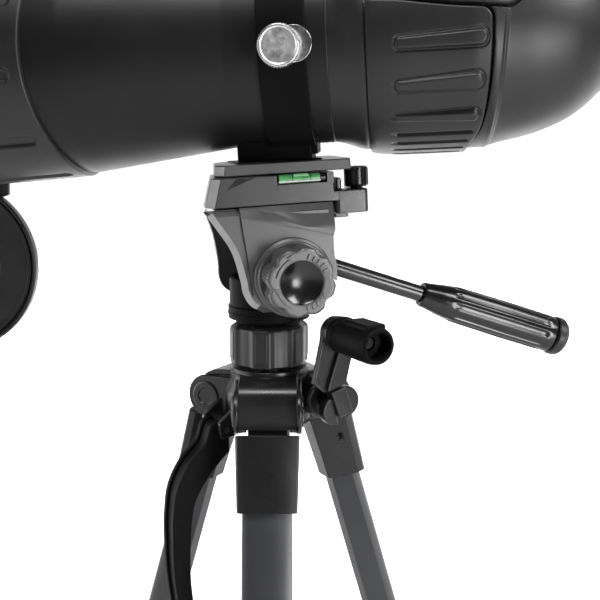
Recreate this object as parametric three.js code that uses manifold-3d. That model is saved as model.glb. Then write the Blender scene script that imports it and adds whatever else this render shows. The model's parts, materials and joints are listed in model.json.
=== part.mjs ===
// Spotting scope on a pan and tilt head and a three leg tripod.
// Units are millimetres, +Z is up. The viewer stands on the -Y side; the objective end points to -X.
import * as THREE from "three";
import { mergeVertices } from "three/addons/utils/BufferGeometryUtils.js";
import Module from "manifold-3d";

const wasm = await Module();
wasm.setup();

// ---- Driving dimensions ----
const DATUM_Z = 440; // height of the head datum, from which heights on the column are given
const AXIS_X = 4.25; // column axis in the part's frame
const AXIS_Y = 34.7;
const SEG = 28; // facets round a large turned piece
const SEG_S = 14; // facets round a small one
const GAP = 0.3; // clearance between touching pieces
const TURN_GAP = 0.8; // and round a faceted piece that turns in another

// scope, stations along its axis from the collar centre, + toward the eyepiece
const SCOPE_TURN = -18; // degrees about the plate screw, from the head's own line
const SCOPE_RISE = 114.2; // optical axis above the tilt axle
const FOOT_HOLE = -6; // plate screw's station in the foot
const HOOD_FRONT = -215;
const HOOD_R = 65;
const HOOD_REAR_SIDE = -114; // rear edge of the hood at the sides
const HOOD_REAR_LOW = -101; // and at its top and bottom
const HOOD_REAR_R = 60;
const BARREL_R = 58.8; // barrel radius under the hood edge
const WAIST_R = 49; // barrel radius under the collar
const COLLAR_S = 5.8; // collar centre
const COLLAR_W = 22.6;
const SCREW_DROP = 3; // collar screw below the optical axis
const COLLAR_R = 51.2;
const REAR_R = 55;
const REAR_END = 170;
const FOOT_S = -4; // foot centre
const FOOT_L = 38;
const FOOT_W = 27;
const FOOT_BASE = -57; // underside of the foot below the optical axis

// lens cap
const CAP_R = 56;
const CAP_T = 9;
const CAP_DROP = 92; // cap centre below the strap stud
const STUD_S = -211; // stud's station on the hood
const STUD_OUT = 70; // out from the optical axis, on the far side
const STUD_RISE = -24; // above the optical axis

// head
const HEAD_YAW = 13; // degrees about Z
const HEAD_TILT = 3; // degrees, left end down
const TILT_X = 7; // tilt axle in the head's frame
const TILT_Z = 16;
const PLATE_SCREW_X = -1; // from the tilt axle
const PAN_R = 20.8;
const CHEEK_IN = 22.1; // tilt body cheeks, out from the head's centre plane
const CHEEK_OUT = 26.8;
const KNOB_R = 17.6;
const VIAL_X = 8; // bubble vial and release knob, from the axle
const VIAL_Z = 48.8;
const RELEASE_X = 39;
const RELEASE_Y = -13;
const RELEASE_Z = 42.1; // underside of the release knob's head
const RELEASE_H = 9.3;
const NOSE_X = 40; // left end of the platform, from the axle
const PLATE_LEFT = 31; // left end of the quick release plate
const PLATE_RIGHT = 34;
const FLANK_RIGHT = 23.4; // right face of the head
const BLOCK_RIGHT = 42; // lever block at the right of the platform
const BLOCK_LOW = 29.8;
const HEAD_HALF = 24.5; // half the platform's depth
const BODY_TOP = 35.6; // top of the tilt body, above the axle
const DECK_LOW = 36; // platform underside
const DECK_TOP = 51.4;
const DECK_CUT = 31; // foot of the pockets cut down through the platform
const PLATE_LOW = 51.7;
const PLATE_TOP = 55.4;
const PAD_TOP = 57.1;
const CROWN_R = 20.5; // crown of the pan base round the axle
const SWING_R = 21.4; // clearance swept round it
const FLANGE_R = 21.8;
const HANDLE_ROOT_X = 6; // start of the handle's line, from the axle
const HANDLE_ROOT_Z = 8;
const ROD_DROP = 18.6; // degrees below level
const ROD_R = 4.5;
const GRIP_R = 9.8;

// tripod
const COLUMN_R = 11;
const COLUMN_DROP = 235; // column end below the datum
const HUB_TOP = -36;
const HUB_LOW = -66;
const PIVOT_R = 29; // leg pivots from the column axis
const PIVOT_Z = -52;
const SPREAD = 17.5; // degrees
const LEG_W = 25;
const LEG_D = 15.5;
const LEG_INNER_W = 8; // inner face of the tube
const LEG_TUBE = 315; // upper tube length
const LEG_TOP = -19; // upper tube's top end, along the leg from the pivot
const LEG_REACH = 397; // pivot to foot centre along the leg
const LOWER_TOP = 200; // lower tube's top end above the foot centre
const PIVOT_HEIGHT = DATUM_Z + PIVOT_Z;
const HANDLE_DIR = -60; // azimuth of the carry handle from the viewer direction
const HANDLE_R = 31;
const HANDLE_Z = -64;
const HANDLE_W = 14;
const CRANK_DIR = 30; // azimuth of the crank shaft from the viewer direction
const CRANK_OFF = 16.6; // shaft line beside the column axis
const CRANK_Z = -49;
const CRANK_ARM = 37;

// ---- Solids ----
const RAD = Math.PI / 180;
function solid(geometry) {
  const g = geometry.clone();
  for (const a of ["normal", "uv"]) g.deleteAttribute(a);
  const m = mergeVertices(g, 1e-4);
  const idx = m.index.array;
  const keep = [];
  for (let i = 0; i < idx.length; i += 3) {
    const [a, b, c] = [idx[i], idx[i + 1], idx[i + 2]];
    if (a !== b && b !== c && a !== c) keep.push(a, b, c);
  }
  const make = (t) =>
    new wasm.Manifold(
      new wasm.Mesh({
        numProp: 3,
        vertProperties: new Float32Array(m.attributes.position.array),
        triVerts: new Uint32Array(t),
      }),
    );
  const s = make(keep);
  if (s.volume() > 0) return s;
  for (let i = 0; i < keep.length; i += 3)
    [keep[i + 1], keep[i + 2]] = [keep[i + 2], keep[i + 1]];
  return make(keep);
}
const add = (...a) => a.reduce((p, q) => p.add(q));
const cut = (a, ...b) => b.reduce((p, q) => p.subtract(q), a);
// turned about Z from [radius, height] pairs
function lathe(pts, seg = SEG) {
  const v = pts.map(([r, h]) => new THREE.Vector2(r, h));
  if (pts[0][0] > 0) v.push(v[0].clone());
  return solid(new THREE.LatheGeometry(v, seg).rotateX(Math.PI / 2));
}
const disc = (r, z0, z1, seg = SEG_S) =>
  lathe([[0, z0], [r, z0], [r, z1], [0, z1]], seg);
const ring = (ro, ri, z0, z1, seg = SEG_S) =>
  lathe([[ri, z0], [ro, z0], [ro, z1], [ri, z1]], seg);
// a disc with rounded rims
function pill(r, z0, z1, e, seg = SEG_S) {
  const c = Math.SQRT1_2 * e;
  return lathe(
    [[0, z0], [r - e, z0], [r - e + c, z0 + e - c], [r, z0 + e], [r, z1 - e],
      [r - e + c, z1 - e + c], [r - e, z1], [0, z1]],
    seg,
  );
}
const box = (w, d, h) => solid(new THREE.BoxGeometry(w, d, h));
const at = (s, x, y, z) => s.translate([x, y, z]);
const rot = (s, x, y, z) => s.rotate([x, y, z]);
const alongX = (s) => rot(s, 0, 90, 0); // Z axis to X
const alongFront = (s) => rot(s, 90, 0, 0); // Z axis to -Y
// extrusion of a THREE.Shape along Z
function slab(shape, h, bevel = 0, seg = 6) {
  return solid(
    new THREE.ExtrudeGeometry(shape, {
      depth: h - 2 * bevel,
      curveSegments: seg,
      bevelEnabled: bevel > 0,
      bevelThickness: bevel,
      bevelSize: bevel,
      bevelOffset: -bevel,
      bevelSegments: 1,
    }).translate(0, 0, bevel),
  );
}
function poly(pts) {
  return new THREE.Shape(pts.map(([x, y]) => new THREE.Vector2(x, y)));
}
function roundRect(w, h, r) {
  const s = new THREE.Shape();
  const [x, y] = [w / 2, h / 2];
  s.moveTo(-x + r, -y);
  s.lineTo(x - r, -y);
  s.absarc(x - r, -y + r, r, -Math.PI / 2, 0);
  s.lineTo(x, y - r);
  s.absarc(x - r, y - r, r, 0, Math.PI / 2);
  s.lineTo(-x + r, y);
  s.absarc(-x + r, y - r, r, Math.PI / 2, Math.PI);
  s.lineTo(-x, -y + r);
  s.absarc(-x + r, -y + r, r, Math.PI, Math.PI * 1.5);
  return s;
}
// outline with n lobes round a circle
function lobed(r, amp, n, sharp, steps) {
  const s = new THREE.Shape();
  for (let i = 0; i < steps; i++) {
    const a = (i / steps) * 2 * Math.PI;
    const q = r - amp * Math.pow(Math.abs(Math.sin((n * a) / 2)), sharp);
    i ? s.lineTo(q * Math.cos(a), q * Math.sin(a)) : s.moveTo(q, 0);
  }
  return s;
}

// ---- Nodes ----
const part = new THREE.Group();
const stand = new THREE.Group(); // column axis, heights from the datum
stand.position.set(AXIS_X, AXIS_Y, DATUM_Z);
part.add(stand);
const pan = new THREE.Group();
pan.rotation.z = HEAD_YAW * RAD;
stand.add(pan);
const tilt = new THREE.Group(); // pivoted on the tilt axle
tilt.position.set(TILT_X, 0, TILT_Z);
tilt.rotation.y = -HEAD_TILT * RAD;
pan.add(tilt);
const scope = new THREE.Group(); // stands on the plate, turned about its screw
const turn = SCOPE_TURN * RAD;
scope.position.set(
  PLATE_SCREW_X - FOOT_HOLE * Math.cos(turn), -FOOT_HOLE * Math.sin(turn), SCOPE_RISE);
scope.rotation.z = turn;
tilt.add(scope);

const COLOURS = {
  armour: 0x1f1f21, barrel: 0x2b2b2d, black: 0x18181a, dark: 0x242427, grey: 0x55565a,
  tube: 0x3d3f43, steel: 0xb9babc, glass: 0x31424d, vial: 0x4fb04a, rubber: 0x161616,
};
function node(name, s, colour, metal = 0, parent = stand) {
  const m = s.getMesh();
  const v = new Float32Array(m.numVert * 3);
  for (let i = 0; i < m.numVert; i++)
    v.set(m.vertProperties.subarray(i * m.numProp, i * m.numProp + 3), i * 3);
  const g = new THREE.BufferGeometry()
    .setAttribute("position", new THREE.BufferAttribute(v, 3))
    .setIndex(new THREE.BufferAttribute(m.triVerts, 1));
  const material = new THREE.MeshStandardMaterial({
    color: COLOURS[colour], roughness: 0.5, metalness: metal, flatShading: true,
  });
  const mesh = new THREE.Mesh(g, material);
  mesh.name = name;
  parent.add(mesh);
}

// ---- Scope ----
// side cutter that keeps what lies behind the hood's curved rear edge
function hoodEdge(shift) {
  const s = new THREE.Shape();
  const n = 12;
  const edge = (k) => {
    const h = (2 * k) / n - 1;
    return HOOD_REAR_SIDE + (HOOD_REAR_LOW - HOOD_REAR_SIDE) * h * h + shift;
  };
  s.moveTo(60, -90);
  s.lineTo(60, 90);
  for (let k = n; k >= 0; k--) s.lineTo(edge(k), HOOD_REAR_R * ((2 * k) / n - 1) * 1.1);
  const g = slab(s, 160);
  return at(rot(g, 90, 0, 0), 0, 80, 0);
}
{
  let hood = alongX(
    lathe([
      [HOOD_R - 5, HOOD_FRONT], [HOOD_R - 0.8, HOOD_FRONT], [HOOD_R, HOOD_FRONT + 1],
      [HOOD_R, HOOD_FRONT + 18], [HOOD_R - 1.4, HOOD_FRONT + 20], [62.2, -147], [HOOD_REAR_R, -95],
      [BARREL_R - 0.2, -95], [BARREL_R + 0.4, -104], [59.2, -112], [55, -112], [55, -150],
      [57, -152], [58, -190],
    ], SEG),
  );
  hood = cut(hood, hoodEdge(0));
  // stud that the cap strap hangs on
  const stud = rot(add(disc(2, 56, STUD_OUT + 3, 12), disc(3.4, STUD_OUT + 2.6, STUD_OUT + 4, 12)),
    -90, 0, 0);
  hood = add(hood, at(stud, STUD_S, 0, STUD_RISE));
  node("objective_housing", hood, "armour", 0, scope);
  const lens = alongX(
    lathe([[0, -178], [54.6, -174], [57.2, -174], [57.2, -166], [0, -165]], SEG),
  );
  node("objective_lens", lens, "glass", 0, scope);
  node("objective_cell", alongX(ring(54.6, 50.5, -149, -104)), "dark", 0, scope);

  // barrel: tapered, hollow, necked into the hood and the rear housing
  const barrel = alongX(
    lathe([
      [54.4, -108], [BARREL_R - GAP, -108], [BARREL_R - GAP, -97], [WAIST_R, -22],
      [WAIST_R, 26.4], [46, 27], [46, 42], [43, 42], [43, 26], [45.6, 22], [45.6, -22],
      [54.4, -95],
    ], SEG),
  );
  node("main_barrel", cut(barrel, alongX(ring(56, 54.3, -110, -103))), "barrel", 0, scope);

  const rearProfile = [
    [46.3, 27], [48.6, 27], [49.2, 30], [53.4, 43], [REAR_R, 62], [REAR_R, 98], [52.8, 108],
    [49.8, 124], [44, 140], [38.4, 149], [28, 161], [26, 166], [26, REAR_END],
    [22.5, REAR_END], [22.5, 163], [38, 140], [50, 100], [50, 55],
  ];
  let rear = alongX(lathe(rearProfile, SEG));
  // focus turret on top
  rear = add(rear, cut(at(pill(17, 48, 62, 2, SEG_S), 88, 0, 0),
    alongX(disc(52, 40, 140, SEG))));
  rear = cut(rear, at(disc(3.4, 40, 70, 12), 88, 0, 0));
  node("rear_housing", rear, "armour", 0, scope);

  // ribbed grip panel wrapped round the sides and underside
  const skin = alongX(
    lathe([[54.9, 45.5], [55.9, 47], [57, 62], [57, 94], [56.4, 100], [55.6, 100],
      [55.35, 95], [55.35, 62], [54.95, 50.3]].map(([r, s]) => [r + 0.05, s]), SEG),
  );
  const side = poly([[30, 16], [118, 16], [118, 70], [30, 70]]);
  let panel = cut(skin, at(rot(slab(side, 160), 90, 0, 0), 0, 80, 0));
  for (const sign of [-1, 1])
    [12, -14, -31].forEach((z, i) => {
      const rib = slab(poly([[50, -3.2], [93 - 3 * i, -6], [96 - 3 * i, 0], [93 - 3 * i, 4],
        [50, 2.2]]), 60, 0.5);
      let r = rot(rib, 90, 0, 0);
      r = at(r, 0, sign < 0 ? 0 : 60, z);
      panel = add(panel, r.intersect(alongX(ring(58.1, 55.5, 46, 100, SEG))));
    });
  for (let i = 0; i < 5; i++) {
    const groove = at(box(40, 2.2, 3), 73, 0, -58.2);
    panel = cut(panel, rot(groove, (i - 2) * 11, 0, 0));
  }
  node("rear_armour", panel, "armour", 0, scope);

  node("prism_block", at(box(44, 50, 46), 82, 0, 0), "glass", 0, scope);
  node("focus_cell", alongX(ring(38, 30, 20, 34, SEG_S)), "dark", 0, scope);
  let knob = at(slab(lobed(15.5, 0.8, 16, 1, 32), 12, 1), 0, 0, 62.4);
  knob = add(knob, disc(3, 50, 63, 16));
  node("focus_knob", at(knob, 88, 0, 0), "rubber", 0, scope);
  node("eyepiece_barrel", alongX(
    lathe([[17, 160], [22, 160], [22, 170.4], [25.4, 170.4], [25.4, 177], [20, 178], [20, 214],
      [15, 214], [15, 178]], SEG_S),
  ), "black", 0, scope);
  const zoom = alongX(slab(lobed(25, 0.9, 20, 1, 40), 19, 0.8).subtract(disc(20 + TURN_GAP, -1, 20)));
  node("zoom_ring", at(zoom, 178.6, 0, 0), "rubber", 0, scope);
  node("eyecup", alongX(
    lathe([[20.3, 198.5], [23, 198.5], [23, 224], [25, 236], [23.4, 237], [20.3, 226]], SEG_S),
  ), "rubber", 0, scope);
  node("eye_lens", alongX(lathe([[0, 205], [14.7, 205], [14.7, 209], [0, 211]], SEG_S)),
    "glass", 0, scope);

  // collar with its foot, split at the thumbscrew seat
  const foot = add(
    at(box(FOOT_L, FOOT_W, 12), FOOT_S, 0, FOOT_BASE + 6),
    at(box(FOOT_L - 14, FOOT_W - 4, 14), COLLAR_S, 0, FOOT_BASE + 10),
  );
  let collar = add(alongX(ring(COLLAR_R, 30, COLLAR_S - COLLAR_W / 2, COLLAR_S + COLLAR_W / 2, SEG)), foot);
  const seat = at(alongFront(disc(8.5, 0, 3.2)), COLLAR_S, -COLLAR_R + 1.5, -SCREW_DROP);
  collar = cut(add(collar, seat), alongX(disc(WAIST_R + TURN_GAP, -40, 40, SEG)));
  collar = cut(collar, at(alongFront(disc(3.2, -8, 12, 16)), COLLAR_S, -48, -SCREW_DROP),
    at(disc(3.4, -80, -53, 16), FOOT_HOLE, 0, 0));
  node("tripod_collar", collar, "black", 0, scope);
  node("thumbscrew_washer", at(alongFront(ring(9.4, 3.2, 0, 1.6)), COLLAR_S, -COLLAR_R - 2, -SCREW_DROP),
    "steel", 1, scope);
  let screw = slab(lobed(10, 0.5, 24, 1, 48), 7, 0.7);
  screw = add(screw, disc(2.9, -4.6, 1, 16));
  node("collar_thumbscrew", at(alongFront(screw), COLLAR_S, -COLLAR_R - 3.9, -SCREW_DROP), "steel", 1, scope);
}

// ---- Lens cap, hung on the hood's far side ----
{
  part.updateMatrixWorld(true);
  const stud = new THREE.Vector3(STUD_S, STUD_OUT, STUD_RISE).applyMatrix4(scope.matrixWorld);
  const hang = new THREE.Group();
  hang.position.copy(stud);
  part.add(hang);
  const eyeZ = CAP_R + 5;
  const cap = add(
    lathe([[0, 0], [CAP_R - 1, 0], [CAP_R, 1], [CAP_R, CAP_T], [CAP_R - 3, CAP_T],
      [CAP_R - 3, 2.4], [0, 2.4]], SEG),
    ring(CAP_R - 6, CAP_R - 8, 2, 4.4, SEG),
    at(slab(roundRect(16, 14, 4), 3), 0, CAP_R + 3, 0),
    rot(at(slab(roundRect(22, 8, 3), 5), 0, CAP_R + 1, 0), 0, 0, -40),
  );
  const eye = at(disc(2.4, -1, 4, 12), 0, eyeZ, 0);
  node("lens_cap", at(alongFront(cut(cap, eye)), 0, -2, -CAP_DROP), "rubber", 0, hang);
  // strap with a button that snaps into the cap's eye
  const len = CAP_DROP - eyeZ;
  const strap = add(
    cut(slab(roundRect(9, len + 10, 4.4), 2, 0, 4), at(disc(2.4, -1, 4, 12), 0, len / 2, 0)),
    at(disc(2, 1, 4.6, 12), 0, -len / 2, 0),
  );
  node("cap_strap", at(alongFront(strap), 0, 0.6, -len / 2), "rubber", 0, hang);
}

// ---- Pan base: a round case whose crown follows the swing of the head ----
{
  const crown = new THREE.Shape();
  crown.moveTo(TILT_X - 24, -12);
  crown.lineTo(TILT_X + 24, -12);
  crown.lineTo(TILT_X + 24, TILT_Z);
  crown.absarc(TILT_X, TILT_Z, CROWN_R, 0, Math.PI);
  crown.lineTo(TILT_X - 24, -12);
  const core = lathe([[0, -9.5], [PAN_R, -9.5], [PAN_R, 50], [0, 50]], SEG);
  let base = add(
    core.intersect(at(rot(slab(crown, 60, 0, 8), 90, 0, 0), 0, 30, 0)),
    lathe([[0, -9.5], [19.6, -9.5], [FLANGE_R, -8.6], [FLANGE_R, -2], [20, -1.2], [0, -1.2]], SEG),
  );
  base = cut(base, at(alongFront(disc(4.3, -30, 30, 16)), TILT_X, 0, TILT_Z),
    disc(8.3, -20, -4, 20), at(box(60, 26, 30), TILT_X, 0, TILT_Z + CROWN_R + 6));
  node("pan_base", base, "black", 0, pan);
}

// ---- Tilting head, in the frame of the tilt axle ----
{
  const front = (s, y) => at(rot(s, 90, 0, 0), 0, y, 0);
  // side profile of the body: flared concave left flank, upright right flank
  const flank = new THREE.Shape();
  flank.moveTo(-NOSE_X - 2, BODY_TOP);
  flank.quadraticCurveTo(-28.4, 18, -25.8, 0);
  flank.quadraticCurveTo(-25.8, -9.5, -19.5, -14.6);
  flank.quadraticCurveTo(-14, -19, -8.2, -17.4);
  flank.absarc(0, 0, 19.2, Math.PI * 1.36, Math.PI * 1.8);
  flank.quadraticCurveTo(19, 4, FLANK_RIGHT - 1.2, 10);
  flank.lineTo(FLANK_RIGHT, 24);
  flank.lineTo(FLANK_RIGHT, BODY_TOP);
  flank.lineTo(-NOSE_X - 2, BODY_TOP);
  let body = front(slab(flank, 2 * CHEEK_OUT, 0, 8), CHEEK_OUT);
  // the space that the pan base's crown swings in, open at the left between the fins
  const swing = new THREE.Shape();
  swing.moveTo(-60, -30);
  swing.lineTo(SWING_R, -30);
  swing.lineTo(SWING_R, 0);
  swing.absarc(0, 0, SWING_R, 0, Math.PI / 2);
  swing.quadraticCurveTo(-14, SWING_R, -24, BODY_TOP - 4);
  swing.lineTo(-60, BODY_TOP - 4);
  swing.lineTo(-60, -30);
  const bay = front(slab(swing, 2 * CHEEK_IN, 0, 10), CHEEK_IN);
  body = cut(body, bay);
  // boss behind the lock knob, handle socket, axle bore
  body = add(body, at(alongFront(ring(20.3, 4.4, 0, 5.4, 32)), 0, -CHEEK_OUT + 0.4, 0));
  const toHandle = (s) => at(rot(s, 0, 90 + ROD_DROP + HEAD_TILT, 0), HANDLE_ROOT_X, 0,
    HANDLE_ROOT_Z);
  const bridge = new THREE.Shape();
  bridge.moveTo(SWING_R + 0.2, -3.8);
  bridge.lineTo(26.4, -5.4);
  bridge.lineTo(27.2, 3);
  bridge.lineTo(FLANK_RIGHT, 9.6);
  bridge.lineTo(FLANK_RIGHT - 0.6, 27);
  bridge.lineTo(14, 27);
  bridge.lineTo(14, 17.4);
  bridge.absarc(0, 0, SWING_R + 0.2, Math.PI * 0.28, -Math.PI * 0.05, true);
  body = add(body, front(slab(bridge, 2 * CHEEK_OUT - 6, 0), CHEEK_OUT - 3));
  body = cut(body, at(alongFront(disc(4.4, -30, 40, 16)), 0, 0, 0),
    toHandle(disc(ROD_R + GAP, 18, 60, 16)));
  // raised edge that falls to the right across the front flank
  const crease = slab(poly([[-24.4, 31.2], [22.8, 19.2], [23.2, 20.7], [-24.8, 33.1]]), 1.6, 0);
  body = add(body, front(crease, -CHEEK_OUT + 0.4));
  node("tilt_body", body, "dark", 0, tilt);

  // platform with rounded nose and the lever block at its right end
  const plan = (left, grow) => {
    const s = new THREE.Shape();
    const [l, r, w] = [left - grow, 28 + grow, HEAD_HALF + grow];
    s.moveTo(l + 4, -w);
    s.lineTo(r, -w);
    s.lineTo(r, w);
    s.lineTo(l + 9, w);
    s.quadraticCurveTo(l + 2, w, l + 1, w * 0.6);
    s.lineTo(l, -w * 0.6);
    s.lineTo(l + 4, -w);
    return s;
  };
  const deck = slab(plan(-NOSE_X, 0), DECK_TOP - DECK_LOW, 1, 6);
  let platform = at(deck, 0, 0, DECK_LOW);
  const blockLeft = FLANK_RIGHT + 1.2;
  platform = add(platform, at(slab(roundRect(BLOCK_RIGHT - blockLeft, 44, 3), 12, 1, 4),
    (BLOCK_RIGHT + blockLeft) / 2, -1, BLOCK_LOW));
  // left end that leans to the right towards the top
  const lean = slab(poly([[-60, DECK_LOW - 1], [-NOSE_X + 1, DECK_LOW - 1],
    [-PLATE_LEFT - 0.6, DECK_TOP + 1], [-60, DECK_TOP + 1]]), 60, 0);
  platform = cut(platform, front(lean, 30));
  platform = cut(platform, at(box(24.6, 5.4, 5.6), VIAL_X, -HEAD_HALF + 1, VIAL_Z),
    at(disc(4, RELEASE_Z - 5, 70, 16), RELEASE_X, RELEASE_Y, 0),
    at(disc(12.4, DECK_CUT, 70, 24), PLATE_SCREW_X, 0, 0));
  node("platform", platform, "black", 0, tilt);
  node("bubble_vial", at(alongX(disc(2.2, -11.8, 11.8, 20)), VIAL_X, -HEAD_HALF + 1.2, VIAL_Z),
    "vial", 0, tilt);
  const rel = add(slab(lobed(6, 0.6, 12, 1, 24), RELEASE_H, 0.6), disc(3.6, -4, 1, 16));
  node("release_knob", at(rel, RELEASE_X, RELEASE_Y, RELEASE_Z), "black", 0, tilt);
  let plate = add(
    at(slab(plan(-PLATE_LEFT - 2.5, -2.5), PLATE_TOP - PLATE_LOW, 0.8, 6), 0, 0, PLATE_LOW),
    at(box(16, 42, PLATE_TOP - PLATE_LOW - 0.4), PLATE_RIGHT - 8, 0,
      (PLATE_LOW + PLATE_TOP) / 2),
  );
  plate = cut(plate, at(disc(3.6, 40, 70, 16), PLATE_SCREW_X, 0, 0));
  node("quick_release_plate", plate, "dark", 0, tilt);
  const pad = at(slab(roundRect(44, 32, 6), PAD_TOP - PLATE_TOP - GAP, 0, 4), -1, 0,
    PLATE_TOP + GAP);
  node("plate_pad", cut(pad, at(disc(3.6, 50, 70, 16), PLATE_SCREW_X, 0, 0)), "rubber", 0, tilt);
  node("plate_screw", at(add(disc(8, PLATE_LOW - 3, PLATE_LOW - GAP, 24),
    disc(3.1, PLATE_LOW - 1, PAD_TOP + 3.4, 20)), PLATE_SCREW_X, 0, 0),
    "steel", 1, tilt);
  node("tilt_axle", at(alongFront(add(disc(3.9, -31, 39, 16), disc(7.4, -30.6, -28.2, 20))),
    0, 0, 0), "steel", 1, tilt);
  // lobed lock knob with a dished face
  let knob = slab(lobed(KNOB_R, 1.9, 7, 3, 56), 15, 1.2);
  knob = cut(knob, lathe([[0, 11.2], [6, 11.8], [10.6, 14.2], [10.8, 20], [0, 20]], 24),
    disc(4.2, -1, 8, 16));
  node("tilt_lock_knob", at(alongFront(knob), 0, -CHEEK_OUT - 5.4, 0), "rubber", 0, tilt);

  // pan handle
  const handle = new THREE.Group();
  handle.position.set(HANDLE_ROOT_X, 0, HANDLE_ROOT_Z);
  handle.rotation.y = (ROD_DROP + HEAD_TILT) * RAD;
  tilt.add(handle);
  node("handle_rod", alongX(disc(ROD_R, 18.4, 96, 20)), "grey", 1, handle);
  let grip = lathe([[0, 78], [6.4, 78], [8, 80], [GRIP_R - 0.6, 90], [GRIP_R, 96], [GRIP_R, 158],
    [0, 158]], 24);
  grip = cut(grip, disc(ROD_R + GAP, 70, 97, 24));
  for (let i = 0; i < 8; i++)
    grip = cut(grip, rot(at(box(1.6, 3, 58), GRIP_R + 0.2, 0, 124), 0, 0, i * 45));
  node("handle_grip", alongX(grip), "black", 0, handle);
  node("grip_end_cap", alongX(lathe([[0, 158.3], [GRIP_R + 0.4, 158.3], [GRIP_R + 0.4, 163],
    [GRIP_R - 2, 166], [0, 166.6]], 24)), "rubber", 0, handle);
}

// ---- Column, lock collar, hub ----
{
  node("center_column", add(disc(COLUMN_R, -COLUMN_DROP, -10.4, SEG), disc(8, -11, -4.4, 20)),
    "grey", 1);
  let lock = slab(lobed(21, 1.6, 6, 2.4, 48), 23, 2.2);
  lock = cut(lock, disc(COLUMN_R + GAP, -2, 30, SEG));
  node("column_lock_collar", at(rot(lock, 0, 0, 20), 0, 0, -34), "rubber");
  let hub = lathe([[COLUMN_R + 0.5, HUB_LOW], [23, HUB_LOW], [25, HUB_TOP - 12],
    [20.4, HUB_TOP - 3], [20.4, HUB_TOP + 1.4], [COLUMN_R + 0.5, HUB_TOP + 1.4]], SEG);
  for (let i = 0; i < 3; i++) {
    // shoulder with a slot for the leg bracket's tongue and a pin bore
    const arm = new THREE.Shape();
    arm.moveTo(15, HUB_TOP - 3);
    arm.quadraticCurveTo(30, HUB_TOP - 3, 35, HUB_TOP - 9);
    arm.lineTo(38, PIVOT_Z + 4);
    arm.lineTo(37, PIVOT_Z - 7.5);
    arm.lineTo(15, PIVOT_Z - 7.5);
    let a = at(rot(slab(arm, 31, 0, 4), 90, 0, 0), 0, 15.5, 0);
    a = a.subtract(disc(COLUMN_R + 0.5, -100, -30, SEG));
    hub = add(hub, rot(a, 0, 0, i * 120 - 90));
  }
  // crank gear case beside the column, bored for the shaft
  const c = CRANK_DIR * RAD;
  const crankAt = (s) => at(rot(s, 0, 0, CRANK_DIR), CRANK_OFF * Math.cos(c),
    CRANK_OFF * Math.sin(c), CRANK_Z);
  hub = add(hub, crankAt(alongFront(pill(10.5, -6, 31, 1, SEG_S))).subtract(
    disc(COLUMN_R + 0.5, -100, -30, SEG)));
  hub = cut(hub, crankAt(alongFront(disc(4.3, -9, 50, 14))));
  // lugs and pin that carry the handle
  const lug = (x) => at(rot(slab(poly([[18, -66], [34, -69], [34, -59], [24, -52], [18, -52]]),
    3.4), 90, 0, 0), 0, x, 0);
  const lugs = add(lug(HANDLE_W / 2 + 4), lug(-HANDLE_W / 2 - GAP - 0.3),
    at(alongFront(disc(2, -10, 10, 12)), HANDLE_R, 0, HANDLE_Z));
  hub = add(hub, rot(lugs, 0, 0, HANDLE_DIR - 90));
  for (let i = 0; i < 3; i++)
    hub = cut(hub, rot(at(box(40, 20.6, 34), PIVOT_R + 6, 0, PIVOT_Z - 8), 0, 0, i * 120 - 90),
      rot(at(alongFront(disc(2.8, -30, 30, 10)), PIVOT_R, 0, PIVOT_Z), 0, 0, i * 120 - 90));
  node("hub", hub, "black");
  const crank = new THREE.Group();
  crank.position.set(CRANK_OFF * Math.cos(c), CRANK_OFF * Math.sin(c), CRANK_Z);
  crank.rotation.z = c;
  stand.add(crank);
  node("crank_shaft", alongFront(add(disc(4, -2, 38, 14), disc(3, 37, 46, 12))), "steel", 1,
    crank);
  let arm = add(
    at(rot(slab(roundRect(14, CRANK_ARM + 14, 6.9), 7, 0.8, 3), 90, 0, 0), 0, -38.4,
      CRANK_ARM / 2),
    at(alongFront(disc(2.9, 0, 33, 12)), 0, -44, CRANK_ARM),
  );
  arm = cut(arm, alongFront(disc(3.3, 20, 60, 12)));
  node("crank_arm", arm, "dark", 0, crank);
  let handle = lathe([[3.3, 0], [7, 0], [8.4, 1.6], [8.8, 14], [8.8, 28], [7.4, 29.4], [7, 33.4],
    [3.3, 33.4]], SEG_S);
  handle = add(handle, at(box(12, 4, 20), 0, 7.4, 12));
  handle = cut(handle, disc(3.3, -1, 40, 12));
  node("crank_knob", at(alongFront(handle), 0, -45.8, CRANK_ARM), "rubber", 0, crank);
}

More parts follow.
